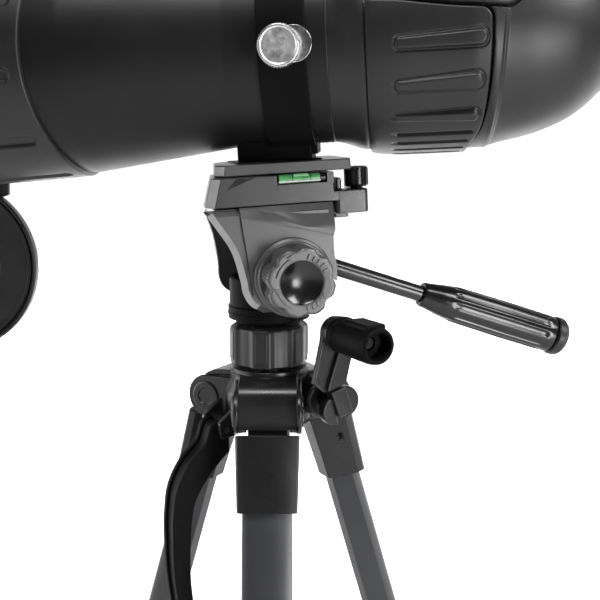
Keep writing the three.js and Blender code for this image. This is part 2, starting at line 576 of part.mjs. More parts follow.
// ---- Legs ----
// section of the tubes: broad rounded outer face, narrower inner face
function section(inset) {
  const [w, d, r] = [LEG_W / 2 - inset, LEG_D / 2 - inset, 3];
  const s = new THREE.Shape();
  s.moveTo(-w + r, -d);
  s.lineTo(w - r, -d);
  s.quadraticCurveTo(w, -d, w, -d + r);
  s.lineTo(LEG_INNER_W / 2 - inset * 0.5, d);
  s.lineTo(-LEG_INNER_W / 2 + inset * 0.5, d);
  s.lineTo(-w, -d + r);
  s.quadraticCurveTo(-w, -d, -w + r, -d);
  return s;
}
["front", "right", "left"].forEach((side, i) => {
  // each leg hangs from its pivot: local -Z runs down the leg, local -Y faces outward
  const swing = new THREE.Group();
  swing.rotation.z = i * 120 * RAD;
  const leg = new THREE.Group();
  leg.position.set(0, -PIVOT_R, PIVOT_Z);
  leg.rotation.x = -SPREAD * RAD;
  swing.add(leg);
  stand.add(swing);
  const id = (s) => side + "_leg_" + s;
  const tube = (grow, low, high) => at(slab(section(-grow), high - low, 0, 2), 0, 0, low);
  let bracket = add(
    at(slab(section(-2.7), 37, 0.8, 2), 0, 0, -50),
    at(rot(slab(roundRect(24, 17, 8.4), 20, 0, 3), 0, 90, 0), -10, 0, -3.6),
  );
  bracket = cut(bracket, tube(GAP, -60, LEG_TOP + GAP), alongX(disc(2.8, -14, 14, 10)));
  node(id("bracket"), bracket, "dark", 0, leg);
  node(id("pin"), alongX(disc(2.5, -15.3, 15.3, 10)), "steel", 1, leg);
  const low = LEG_TOP - LEG_TUBE;
  const upper = cut(tube(0, low, LEG_TOP), tube(-1.4, low - 1, LEG_TOP + 1));
  node(id("upper"), upper, "tube", 1, leg);
  // clamp sleeve at the tube's end, with cheeks for its lever
  let clamp = add(tube(2.8, low - 12, low + 24), at(box(14, 7, 12), 0, -13.4, low + 2));
  clamp = cut(clamp, tube(GAP, low - GAP, low + 30), tube(-1.5, low - 20, low + 2),
    at(box(8.6, 8.2, 15), 0, -15, low + 2), at(alongX(disc(1.6, -9, 9, 8)), 0, -14, low + 2));
  node(id("clamp"), clamp, "black", 0, leg);
  let lever = add(
    at(alongX(disc(2.6, -4, 4, 10)), 0, -14, low + 2),
    at(box(7.8, 2.4, 9), 0, -14.4, low + 7.5),
    at(rot(slab(roundRect(17, 27, 4), 2.6, 0, 2), 90, 0, 0), 0, -13.2, low + 23.3),
  );
  lever = cut(lever, at(alongX(disc(1.6, -9, 9, 8)), 0, -14, low + 2));
  node(id("lever"), lever, "rubber", 0, leg);
  node(id("lower"), cut(tube(-1.8, 6 - LEG_REACH, LOWER_TOP - LEG_REACH),
    tube(-3.2, 8 - LEG_REACH, LOWER_TOP + 2 - LEG_REACH)), "grey", 1, leg);
  // rubber foot, flat where it stands
  const ground = PIVOT_HEIGHT - LEG_REACH * Math.cos(SPREAD * RAD);
  const foot = cut(
    add(pill(12, -10, 8, 4, SEG_S), at(slab(section(-1), 18, 0, 2), 0, 0, 2)),
    at(slab(section(1.8 - GAP), 30, 0, 2), 0, 0, 6 - GAP),
    rot(at(box(60, 60, 20), 0, 0, -10 - ground), SPREAD, 0, 0),
  );
  node(id("foot"), at(foot, 0, 0, -LEG_REACH), "rubber", 0, leg);
});

// ---- Carry handle between the front and left legs ----
{
  const bow = new THREE.Shape();
  bow.moveTo(26.5, -68);
  bow.quadraticCurveTo(31, -54, 36, -68);
  bow.bezierCurveTo(43, -88, 56, -92, 56.5, -118);
  bow.bezierCurveTo(57.5, -140, 58, -176, 38, -200);
  bow.lineTo(30, -196);
  bow.bezierCurveTo(46, -172, 46.5, -148, 46.5, -118);
  bow.bezierCurveTo(46, -104, 38, -98, 26.5, -76);
  bow.lineTo(26.5, -68);
  let handle = at(rot(slab(bow, HANDLE_W, 1, 8), 90, 0, 0), 0, HANDLE_W / 2, 0);
  handle = cut(handle, at(alongFront(disc(2.3, -20, 20, 12)), HANDLE_R, 0, HANDLE_Z));
  const swing = new THREE.Group();
  swing.rotation.z = (HANDLE_DIR - 90) * RAD;
  stand.add(swing);
  node("carry_handle", handle, "black", 0, swing);
}

export default part;
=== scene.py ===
import json
import math
import bpy
import bmesh
import numpy as np
from mathutils import Matrix, Vector

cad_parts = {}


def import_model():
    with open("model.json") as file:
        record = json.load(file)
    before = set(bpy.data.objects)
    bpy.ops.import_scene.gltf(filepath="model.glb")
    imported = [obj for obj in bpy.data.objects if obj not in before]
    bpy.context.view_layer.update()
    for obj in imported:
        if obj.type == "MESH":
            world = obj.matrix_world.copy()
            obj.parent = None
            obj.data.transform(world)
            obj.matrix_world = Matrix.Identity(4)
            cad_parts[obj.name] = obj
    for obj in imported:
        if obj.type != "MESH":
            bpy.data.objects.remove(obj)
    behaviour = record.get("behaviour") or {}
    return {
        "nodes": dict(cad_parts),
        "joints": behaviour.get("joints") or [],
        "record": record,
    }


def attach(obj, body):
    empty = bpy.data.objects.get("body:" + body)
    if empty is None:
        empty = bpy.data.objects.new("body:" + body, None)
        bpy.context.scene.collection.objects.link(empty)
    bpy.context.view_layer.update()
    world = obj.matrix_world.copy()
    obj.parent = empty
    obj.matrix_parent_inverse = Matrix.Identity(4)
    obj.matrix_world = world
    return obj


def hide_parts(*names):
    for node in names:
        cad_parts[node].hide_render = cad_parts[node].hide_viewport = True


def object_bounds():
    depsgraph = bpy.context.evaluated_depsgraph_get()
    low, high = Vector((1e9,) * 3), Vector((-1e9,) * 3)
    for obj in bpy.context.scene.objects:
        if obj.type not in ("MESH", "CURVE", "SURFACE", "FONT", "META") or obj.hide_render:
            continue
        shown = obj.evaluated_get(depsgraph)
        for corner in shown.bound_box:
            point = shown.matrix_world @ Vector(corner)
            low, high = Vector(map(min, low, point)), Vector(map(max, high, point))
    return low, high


# A spotting scope on a pan head and tripod. Each function below builds one sub-part, in millimetres, in a
# Frame taken from the joint that carries it. Part.make lets it ride that joint's body and replace CAD nodes.
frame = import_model()
cad_low, cad_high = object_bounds()
JOINTS = {j["name"]: j for j in frame["joints"]}
MM = 0.001
UP = np.array([0.0, 0, 1])


# ---------------------------------------------------------------- frames
class Frame:
    """Local millimetres to the row frame. The columns of a are the local axes."""

    def __init__(self, o, a):
        self.o = np.array(o, float)
        self.a = np.array(a, float)

    def world(self, v):
        return self.o + np.asarray(v, float) @ self.a.T * MM

    def shift(self, x, y, z):
        return Frame(self.world((x, y, z)), self.a)

    def turn(self, axis, deg):
        return Frame(self.o, self.a @ np.array(Matrix.Rotation(math.radians(deg), 3, axis)))

    def along_x(self):
        return self.turn("Y", 90)

    def front(self):
        return self.turn("X", 90)

    def back(self):
        return self.turn("X", -90)


def axes(x=None, y=None, z=None):
    """Unit axes as columns, from any two; the third is their cross product."""
    if x is None:
        x = np.cross(y, z)
    if z is None:
        z = np.cross(x, y)
    if y is None:
        y = np.cross(z, x)
    a = np.column_stack([x, y, z])
    return a / np.linalg.norm(a, axis=0)


def axis_of(joint):
    return np.array(JOINTS[joint]["axis"], float)


def pos_of(joint):
    return np.array(JOINTS[joint]["pos_m"], float)


STAND = Frame(pos_of("pan_turn"), np.eye(3))
TILT = Frame(pos_of("head_tilt"), axes(y=axis_of("head_tilt"), z=axis_of("plate_lift")))
PAN = Frame(pos_of("pan_turn"), axes(y=axis_of("head_tilt"), z=UP))
TILT_X = float(np.dot(pos_of("head_tilt") - pos_of("pan_turn"), PAN.a[:, 0])) / MM
TILT_Z = float(pos_of("head_tilt")[2] - pos_of("pan_turn")[2]) / MM
SCOPE = Frame(pos_of("scope_roll"), axes(x=axis_of("scope_roll"), z=axis_of("focus_turn")))
HANDLE_BACK = 30  # from the handle joint back along the handle to the origin of its outlines
HANDLE = Frame(pos_of("handle_twist"), axes(x=axis_of("handle_twist"), y=axis_of("head_tilt")))
HANDLE = HANDLE.shift(-HANDLE_BACK, 0, 0)
CRANK_REACH = 40  # from the column's axis out to the crank joint
CRANK = Frame(pos_of("crank_turn"), axes(y=-axis_of("crank_turn"), z=UP)).shift(0, CRANK_REACH, 0)
CARRY = Frame(pos_of("carry_swing"), axes(y=-axis_of("carry_swing"), z=UP))
CAP = Frame(pos_of("cap_swing"), np.eye(3))
SCREW = Frame(pos_of("thumbscrew_turn"), axes(x=axis_of("scope_roll"), y=-axis_of("thumbscrew_turn")))


# ---------------------------------------------------------------- meshes
class Part:
    """Shapes gathered from local frames into one mesh that becomes one visible piece."""

    def __init__(self):
        self.v = []
        self.f = []
        self.n = 0

    def add(self, f, shape):
        v, faces = shape
        self.v.append(f.world(v))
        k = self.n
        self.f += [[i + k for i in q] for q in faces]
        self.n += len(v)
        return self

    def make(self, name, mat, body, nodes=(), slot=None, sharp=40, turn=True):
        mesh = bpy.data.meshes.new(name)
        mesh.from_pydata(np.concatenate(self.v).tolist(), [], self.f)
        if turn:
            bm = bmesh.new()
            bm.from_mesh(mesh)
            bmesh.ops.recalc_face_normals(bm, faces=bm.faces)
            bm.to_mesh(mesh)
            bm.free()
        mesh.shade_smooth()
        mesh.set_sharp_from_angle(angle=math.radians(sharp))
        mesh.materials.append(mat)
        o = bpy.data.objects.new(name, mesh)
        bpy.context.scene.collection.objects.link(o)
        flat = o.modifiers.new("flat_faces", "WEIGHTED_NORMAL")
        flat.keep_sharp = True
        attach(o, body)
        if nodes:
            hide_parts(*nodes)
        return o


def fillet(pts, r, n=4, closed=False):
    """Rounds a polyline's corners; a point may carry its own radius as a third number."""
    out = []
    m = len(pts)
    for i, p in enumerate(pts):
        c = np.array(p[:2], float)
        rad = p[2] if len(p) > 2 else r
        if (not closed and i in (0, m - 1)) or rad <= 0:
            out.append(c)
            continue
        a = np.array(pts[i - 1][:2], float) - c
        b = np.array(pts[(i + 1) % m][:2], float) - c
        la, lb = np.linalg.norm(a), np.linalg.norm(b)
        if la < 1e-9 or lb < 1e-9:
            out.append(c)
            continue
        a, b = a / la, b / lb
        half = math.acos(max(-1, min(1, float(a @ b)))) / 2
        if abs(half - math.pi / 2) < 0.02:
            out.append(c)
            continue
        t = min(rad / math.tan(half), 0.48 * la, 0.48 * lb)
        p0, p1 = c + a * t, c + b * t
        for k in range(n + 1):
            u = k / n
            out.append((1 - u) ** 2 * p0 + 2 * u * (1 - u) * c + u * u * p1)
    return [tuple(q) for q in out]


def lathe(pts, seg=72, mod=None):
    """Turned about Z from (radius, height) pairs, closed on the axis or on itself."""
    v, f, rings = [], [], []
    ang = np.arange(seg) * 2 * math.pi / seg
    cos, sin = np.cos(ang), np.sin(ang)
    for r, h in pts:
        if r < 1e-6:
            rings.append([len(v)])
            v.append((0, 0, h))
        else:
            q = np.full(seg, float(r)) if mod is None else mod(ang, r, h)
            rings.append(list(range(len(v), len(v) + seg)))
            v += list(zip(q * cos, q * sin, np.full(seg, float(h))))
    pairs = list(zip(rings[:-1], rings[1:]))
    if len(rings[0]) > 1 and len(rings[-1]) > 1:
        pairs.append((rings[-1], rings[0]))
    for a, b in pairs:
        for i in range(seg):
            j = (i + 1) % seg
            if len(a) == 1 and len(b) == 1:
                continue
            if len(a) == 1:
                f.append((a[0], b[i], b[j]))
            elif len(b) == 1:
                f.append((a[i], a[j], b[0]))
            else:
                f.append((a[i], a[j], b[j], b[i]))
    return np.array(v, float), f


def pin(radius, low, high, seg, edge=0.0, n=4):
    """Round bar along Z from low to high, its two edges rounded by edge."""
    return lathe(fillet([(0, low), (radius, low), (radius, high), (0, high)], edge, n), seg)


def inset(o, d):
    """Closed outline moved inwards by d; o runs counter-clockwise."""
    o = np.asarray(o, float)
    e = np.roll(o, -1, 0) - o
    e /= np.maximum(np.linalg.norm(e, axis=1), 1e-9)[:, None]
    n = np.column_stack([e[:, 1], -e[:, 0]])
    p = np.roll(n, 1, 0)
    k = np.maximum(1 + (n * p).sum(1), 0.4)[:, None]
    return o - (n + p) / k * d


def area2(o):
    """Twice the signed area of a closed outline, positive when counter-clockwise."""
    o = np.asarray(o, float)
    q = np.roll(o, -1, 0)
    return float((o[:, 0] * q[:, 1] - q[:, 0] * o[:, 1]).sum())


def slab(outline, z0, z1, b=0.6, n=3):
    """Outline in XY pushed from z0 to z1, its rims rounded by b in n steps."""
    o = np.asarray([p[:2] for p in outline], float)
    if area2(o) < 0:
        o = o[::-1]
    rings = []
    for k in range(n + 1):
        a = math.pi / 2 * k / n
        rings.append((b * (1 - math.sin(a)), z0 + b * (1 - math.cos(a))))
    for k in range(n, -1, -1):
        a = math.pi / 2 * k / n
        rings.append((b * (1 - math.sin(a)), z1 - b * (1 - math.cos(a))))
    if b == 0:
        rings = [(0, z0), (0, z1)]
    v, m = [], len(o)
    for d, z in rings:
        q = inset(o, d) if d > 0 else o
        v += [(x, y, z) for x, y in q]
    f = [tuple(range(m))[::-1], tuple(range((len(rings) - 1) * m, len(rings) * m))]
    for r in range(len(rings) - 1):
        for i in range(m):
            j = (i + 1) % m
            f.append((r * m + i, r * m + j, (r + 1) * m + j, (r + 1) * m + i))
    return np.array(v, float), f


def loft(outlines, levels):
    """Skins between outlines of the same count at rising levels, closed at both ends."""
    m = len(outlines[0])
    v = [(x, y, z) for o, z in zip(outlines, levels) for x, y in np.asarray(o)[:, :2]]
    f = [tuple(range(m))[::-1], tuple(range((len(outlines) - 1) * m, len(outlines) * m))]
    for r in range(len(outlines) - 1):
        f += [(r * m + i, r * m + (i + 1) % m, (r + 1) * m + (i + 1) % m, (r + 1) * m + i) for i in range(m)]
    return np.array(v, float), f


def rect(w, h, r, cx=0.0, cy=0.0, n=5):
    """Rectangle w by h about (cx, cy) with corners rounded by r."""
    x0, x1 = cx - w / 2, cx + w / 2
    y0, y1 = cy - h / 2, cy + h / 2
    return fillet([(x0, y0), (x1, y0), (x1, y1), (x0, y1)], r, n, True)


def grid(P, wrap=False, keep=None):
    """Quads over an array of points; keep masks them."""
    n, m = P.shape[:2]
    idx = np.arange(n * m).reshape(n, m)
    if wrap:
        idx = np.concatenate([idx, idx[:, :1]], 1)
    q = np.stack([idx[:-1, :-1], idx[:-1, 1:], idx[1:, 1:], idx[1:, :-1]], -1)
    q = q[keep] if keep is not None else q.reshape(-1, 4)
    return P.reshape(-1, 3), q.reshape(-1, 4).tolist()


def ease(xs, ys):
    """Monotone cubic through points, as a function of an array."""
    x, y = np.array(xs, float), np.array(ys, float)
    h, s = np.diff(x), np.diff(y) / np.diff(x)
    m = np.zeros(len(x))
    m[0], m[-1] = s[0], s[-1]
    for i in range(1, len(x) - 1):
        if s[i - 1] * s[i] > 0:
            w1, w2 = 2 * h[i] + h[i - 1], h[i] + 2 * h[i - 1]
            m[i] = (w1 + w2) / (w1 / s[i - 1] + w2 / s[i])

    def f(q):
        q = np.clip(np.asarray(q, float), x[0], x[-1])
        i = np.clip(np.searchsorted(x, q) - 1, 0, len(h) - 1)
        t = (q - x[i]) / h[i]
        return (
            (2 * t**3 - 3 * t**2 + 1) * y[i]
            + (t**3 - 2 * t**2 + t) * h[i] * m[i]
            + (3 * t**2 - 2 * t**3) * y[i + 1]
            + (t**3 - t**2) * h[i] * m[i + 1]
        )

    return f


def quarter(d, w):
    """Rounded rise from 0 at d = 0 to 1 at d = w."""
    return np.sqrt(np.maximum(0, 1 - (1 - np.clip(d / w, 0, 1)) ** 2))


def smooth(d, a, b):
    """Smooth step from 0 at d = a to 1 at d = b."""
    t = np.clip((d - a) / (b - a), 0, 1)
    return t * t * (3 - 2 * t)


def polar(s, alpha, r):
    """Scope skin: station, degrees above the near side's horizontal, radius."""
    a = np.radians(alpha)
    return np.stack([s, -r * np.cos(a), r * np.sin(a)], -1)


def curve(pts, n=24):
    """Catmull-Rom line through points."""
    p = np.array(pts, float)
    p = np.vstack([2 * p[0] - p[1], p, 2 * p[-1] - p[-2]])
    out = []
    for i in range(1, len(p) - 2):
        for k in range(n):
            t = k / n
            linear = (p[i + 1] - p[i - 1]) * t
            square = (2 * p[i - 1] - 5 * p[i] + 4 * p[i + 1] - p[i + 2]) * t * t
            cubic = (3 * p[i] - p[i - 1] - 3 * p[i + 1] + p[i + 2]) * t**3
            out.append(tuple(0.5 * (2 * p[i] + linear + square + cubic)))
    out.append(tuple(p[-2]))
    return out


def bezier(p0, c, p1, n=10):
    """Quadratic curve from p0 to p1 that leaves and arrives along c."""
    p0, c, p1 = np.array(p0), np.array(c), np.array(p1)
    return [tuple((1 - t) ** 2 * p0 + 2 * t * (1 - t) * c + t * t * p1) for t in np.linspace(0, 1, n + 1)]


def arc(cx, cy, r, a0, a1, n=16):
    """Points on a circle from a0 to a1 degrees."""
    turns = [math.radians(a) for a in np.linspace(a0, a1, n + 1)]
    return [(cx + r * math.cos(a), cy + r * math.sin(a)) for a in turns]


def lobes(r, amp, n, sharp, phase=0.0):
    """Radius modulation with n rounded lobes."""

    def mod(ang, base, h):
        return base - amp * np.abs(np.sin(n * (ang - phase) / 2)) ** sharp * min(1.0, base / r)

    return mod


# ---------------------------------------------------------------- materials
def link(nt, a, b):
    nt.links.new(a, b)


def noise(nt, co, size_mm, detail=2.0, stretch=None):
    """Noise in object space with features of about size_mm."""
    n = nt.nodes.new("ShaderNodeTexNoise")
    n.inputs["Scale"].default_value = 1.0 / (size_mm * MM)
    n.inputs["Detail"].default_value = detail
    n.inputs["Roughness"].default_value = 0.5
    if stretch is not None:
        m = nt.nodes.new("ShaderNodeMapping")
        m.inputs["Scale"].default_value = stretch
        link(nt, co, m.inputs["Vector"])
        co = m.outputs["Vector"]
    link(nt, co, n.inputs["Vector"])
    return n.outputs["Fac"]


def remap(nt, fac, a, b, lo, hi):
    m = nt.nodes.new("ShaderNodeMapRange")
    m.inputs["From Min"].default_value = a
    m.inputs["From Max"].default_value = b
    m.inputs["To Min"].default_value = lo
    m.inputs["To Max"].default_value = hi
    link(nt, fac, m.inputs["Value"])
    return m.outputs["Result"]


def mix(nt, fac, a, b):
    """Colour mix; a and b are each a colour or a socket."""
    m = nt.nodes.new("ShaderNodeMix")
    m.data_type = "RGBA"
    link(nt, fac, m.inputs["Factor"])
    colour_a, colour_b, colour_out = m.inputs[6], m.inputs[7], m.outputs[2]
    for socket, c in ((colour_a, a), (colour_b, b)):
        if isinstance(c, tuple):
            socket.default_value = (*c, 1)
        else:
            link(nt, c, socket)
    return colour_out


WORN_AT, WORN_BAND = 0.56, 0.06  # pointiness where wear starts, and how far it takes to fade in


def finish_of(name, colour, rough, rough_spread=0.06, spec=0.5, metal=0.0, grain=0.4, grain_depth=0.02,
              mottle=14.0, mottle_gain=0.18, worn=None, stretch=None, coat=0.0, coat_rough=0.1,
              ripple=0.0, ripple_depth=0.05):
    """A moulded, painted or metal finish: fine grain, soft mottling, rubbed edges."""
    mat = bpy.data.materials.new(name)
    mat.use_nodes = True
    nt = mat.node_tree
    bsdf = nt.nodes["Principled BSDF"]
    co = nt.nodes.new("ShaderNodeTexCoord").outputs["Object"]
    big = noise(nt, co, mottle, 3.0)
    fine = noise(nt, co, grain, 2.0, stretch)
    dark = tuple(c * (1 - mottle_gain) for c in colour)
    light = tuple(min(1, c * (1 + mottle_gain)) for c in colour)
    tone = mix(nt, remap(nt, big, 0.3, 0.7, 0, 1), dark, light)
    if worn is not None:
        geo = nt.nodes.new("ShaderNodeNewGeometry")
        edge = remap(nt, geo.outputs["Pointiness"], WORN_AT, WORN_AT + WORN_BAND, 0, 0.7)
        tone = mix(nt, edge, tone, worn)
    link(nt, tone, bsdf.inputs["Base Color"])
    base_rough = remap(nt, big, 0.25, 0.75, rough - rough_spread, rough + rough_spread)
    link(nt, base_rough, bsdf.inputs["Roughness"])
    bsdf.inputs["Metallic"].default_value = metal
    bsdf.inputs["Specular IOR Level"].default_value = spec
    bsdf.inputs["Coat Weight"].default_value = coat
    bsdf.inputs["Coat Roughness"].default_value = coat_rough
    bump = nt.nodes.new("ShaderNodeBump")
    bump.inputs["Strength"].default_value = 1.0
    bump.inputs["Distance"].default_value = grain_depth * MM
    link(nt, fine, bump.inputs["Height"])
    if ripple:
        wide = nt.nodes.new("ShaderNodeBump")
        wide.inputs["Strength"].default_value = 1.0
        wide.inputs["Distance"].default_value = ripple_depth * MM
        link(nt, noise(nt, co, ripple, 1.0), wide.inputs["Height"])
        link(nt, wide.outputs["Normal"], bump.inputs["Normal"])
    link(nt, bump.outputs["Normal"], bsdf.inputs["Normal"])
    return mat


ARMOUR = finish_of("armour_rubber", (0.010, 0.010, 0.0103), 0.42, spec=0.5, grain=0.42, grain_depth=0.028,
                   mottle=30, worn=(0.05, 0.05, 0.052))
BARREL = finish_of("barrel_lacquer", (0.006, 0.0058, 0.006), 0.42, spec=0.3, grain=0.32, grain_depth=0.016,
                   mottle=45, mottle_gain=0.1)
MOULDING = finish_of("satin_moulding", (0.009, 0.009, 0.0095), 0.30, spec=0.5, grain=0.5, grain_depth=0.008,
                     mottle=18, mottle_gain=0.06, worn=(0.03, 0.03, 0.031), ripple=9, ripple_depth=0.05)
HEAD = finish_of("head_moulding", (0.062, 0.062, 0.064), 0.32, spec=0.62, grain=0.45, grain_depth=0.014,
                 mottle=16, mottle_gain=0.04, worn=(0.05, 0.05, 0.052))
DECK = finish_of("deck_moulding", (0.026, 0.026, 0.028), 0.3, spec=0.5, grain=0.45, grain_depth=0.014,
                 mottle=16, mottle_gain=0.04)
GLOSS = finish_of("gloss_moulding", (0.006, 0.006, 0.0065), 0.2, rough_spread=0.04, spec=0.55, grain=2.5,
                  grain_depth=0.012, mottle=12, worn=(0.05, 0.05, 0.052))
CASE = finish_of("case_moulding", (0.004, 0.004, 0.0045), 0.5, spec=0.06, grain=0.5, grain_depth=0.01,
                 mottle=20)
# Painted highlight: a light grey for strips laid over the head's left facets and fin chamfers, standing in
# for the reflection the black moulding catches there.
PAINTED_SHEEN = finish_of("painted_highlight_strip", (0.36, 0.36, 0.355), 0.45, spec=0.3, grain=0.5, grain_depth=0.01, mottle=20)
RUBBER = finish_of("grip_rubber", (0.012, 0.012, 0.0125), 0.42, spec=0.5, grain=0.6, grain_depth=0.02,
                   mottle=11, worn=(0.05, 0.05, 0.051))
TUBE = finish_of("gunmetal_tube", (0.07, 0.071, 0.076), 0.34, spec=0.45, metal=0.55, grain=0.25,
                 grain_depth=0.006, mottle=40, mottle_gain=0.08, stretch=(1, 1, 0.03), worn=(0.2, 0.2, 0.21))
INNER = finish_of("anodised_tube", (0.42, 0.42, 0.43), 0.32, metal=0.9, grain=0.25, grain_depth=0.006,
                  mottle=40, mottle_gain=0.06, stretch=(1, 1, 0.03))
ROD = finish_of("lacquered_rod", (0.016, 0.016, 0.017), 0.24, spec=0.6, grain=0.8, grain_depth=0.006,
                mottle=20)
STEEL = finish_of("knurled_steel", (0.86, 0.86, 0.87), 0.34, rough_spread=0.1, metal=0.9, grain=0.55,
                  grain_depth=0.09, mottle=3.0, mottle_gain=0.22)
PLATED = finish_of("plated_steel", (0.62, 0.62, 0.63), 0.26, metal=1.0, grain=0.3, grain_depth=0.01, mottle=6)
LENS = finish_of("coated_glass", (0.012, 0.02, 0.03), 0.05, rough_spread=0.02, spec=0.9, grain=8,
                 grain_depth=0.001, mottle=30, coat=1.0, coat_rough=0.03)
WHITE = finish_of("white_paint", (0.62, 0.63, 0.62), 0.4, grain=0.5, grain_depth=0.008, mottle=6)
VIAL = finish_of("vial_liquid", (0.10, 0.40, 0.13), 0.12, spec=0.6, grain=5, grain_depth=0.002, mottle=8,
                 mottle_gain=0.3, coat=1.0, coat_rough=0.05)
VIAL_LIGHT = finish_of("vial_bubble", (0.35, 0.75, 0.38), 0.1, spec=0.6, grain=5, grain_depth=0.002, mottle=5,
                       coat=1.0, coat_rough=0.05)


# ---------------------------------------------------------------- scope
# stations run along the scope's axis from the collar joint, positive towards the eye
HOOD_FRONT, HOOD_REAR, HOOD_BOW = -215.0, -114.0, 13.0
BARREL_R, WAIST_R = 58.5, 49.0
COLLAR_S, COLLAR_W, COLLAR_R = 5.8, 22.6, 51.2
GROOVES, GROOVE_LONG, GROOVE_HALF = 11, 40.0, 3.1


def hood_edge(al):
    """Station of the hood's bowed rear edge at an angle."""
    return HOOD_REAR + HOOD_BOW * np.sin(np.radians(al)) ** 2


def hood():
    radius = ease([-215, -213.6, -197.2, -194.6, -147, -95], [64.2, 65, 65, 63.6, 62.2, 60])
    alpha = np.linspace(0, 360, 520, endpoint=False) - 90
    u = np.concatenate([np.linspace(0, 0.5, 36, endpoint=False), np.linspace(0.5, 1, 110)])
    al, uu = np.meshgrid(alpha, u)
    s = HOOD_FRONT + uu * (hood_edge(al) - HOOD_FRONT)
    r = radius(s)
    step = 360 / GROOVES
    off = (al - 24 + step / 2) % step - step / 2
    mid = al - off
    end = hood_edge(mid) - 6.0
    d_side = np.abs(np.radians(off)) * 61
    x = end - s
    cap = np.where(x < GROOVE_HALF, np.hypot(GROOVE_HALF - x, d_side),
                   np.where(x > GROOVE_LONG, np.hypot(x - GROOVE_LONG, d_side), d_side))
    r = r - 1.5 * smooth(GROOVE_HALF - cap, -0.25, 0.8)
    gap = hood_edge(al) - s
    r = r - 1.5 * (1 - quarter(gap, 1.3))
    P = polar(s, al, r)
    rim = polar(hood_edge(alpha), alpha, np.full(len(alpha), 57.4))
    mouth = ((-176, 57.6), (-189, 58.4), (-213.5, 60.2), (-215, 61.2), (-215.4, 62.4), (-215.2, 63.6))
    front = [polar(np.full(len(alpha), a), alpha, np.full(len(alpha), q)) for a, q in mouth]
    P = np.concatenate([np.stack(front), P, rim[None]])
    part = Part().add(SCOPE, grid(P, wrap=True))
    stud = fillet([(0, 56), (2, 56), (2, 72.6), (3.4, 72.8), (3.4, 74), (0, 74)], 0.5)
    part.add(SCOPE.shift(-211, 0, -24).back(), lathe(stud, 32))
    part.make("hood", ARMOUR, "scope_body", ["objective_housing"], "armour", sharp=50)


def barrel():
    out = [(56, -124), (BARREL_R, -122), (BARREL_R, -97, 30), (WAIST_R, -22, 16), (WAIST_R, 27), (46.2, 27.6)]
    back = [(46.2, 42), (43.4, 42), (43.4, 25), (46, 20), (46, -22), (54.6, -95)]
    part = Part().add(SCOPE.along_x(), lathe(fillet(out + back, 1.0, 8, True), 200))
    part.make("barrel", BARREL, "scope_body", ["main_barrel"], "barrel", sharp=30)


PANEL_TOP = ease([44, 61, 75, 88, 105.7, 118], [16.6, 14.6, 12.2, 10.4, 8.9, 8.2])
PANEL_END = ease([-90, -71, -63, -51, -35, -17, -5.8, 2.2, 90],
                 [91, 92.6, 94.4, 97.2, 99.2, 100.6, 101.2, 101.4, 101.5])
HULL = ease([27, 30, 43, 62, 98, 108, 124, 140, 149, 161, 166, 170],
            [48.8, 49.4, 53.4, 55, 54.9, 52.9, 49.6, 43.8, 38.2, 28.4, 26.3, 26])
PANEL_R = ease([44, 48, 62, 92, 100, 104], [54.6, 55.7, 56.9, 57, 56.2, 55.6])
REAR_S = np.concatenate([np.linspace(27, 57, 22, endpoint=False), np.linspace(57, 94, 80, endpoint=False),
                         np.linspace(94, 117, 80, endpoint=False), np.linspace(117, 170, 44)])
REAR_E = np.concatenate([np.linspace(-90, -78, 20, endpoint=False), np.linspace(-78, 17, 250, endpoint=False),
                         np.linspace(17, 90, 70, endpoint=False)])


def rear_grid():
    """Stations and angles all the way round, with the elevation of each side."""
    alpha = np.concatenate([REAR_E, 180 - REAR_E])
    s, al = np.meshgrid(REAR_S, alpha, indexing="ij")
    elev = np.where(al > 90, 180 - al, al)
    return s, al, elev


def panel_inside(s, elev):
    """Distance in mm inside the grip panel's outline, negative outside it."""
    top = (PANEL_TOP(s) - elev) * math.pi / 180 * 56
    end = PANEL_END(elev) - s
    c = 5.0
    corner = c - np.hypot(np.maximum(c - top, 0), np.maximum(c - end, 0))
    return np.where((top < c) & (end < c), corner, np.minimum(top, end))


def hump_inside(s, elev):
    """The same for the raised top of the prism housing."""
    low = (elev - PANEL_TOP(s)) * math.pi / 180 * 56 - 0.9
    side = np.minimum(s - 56.5, 115.5 - s)
    c = 9.0
    corner = c - np.hypot(np.maximum(c - low, 0), np.maximum(c - side, 0))
    return np.where((low < c) & (side < c), corner, np.minimum(low, side))


RIBS = [  # station at the left and right end, elevation of the top and bottom edge at each
    (57.6, 99.0, -2.6, -7.6, -0.2, -7.6),
    (57.2, 97.2, -22.6, -27.2, -19.2, -27.4),
    (56.8, 95.6, -40.2, -44.0, -38.6, -44.8),
]
SLOTS = [(56.5, 93.6, -54.4), (56.4, 91.6, -62.6), (56.3, 89.6, -71.0), (56.2, 88.4, -79.5)]


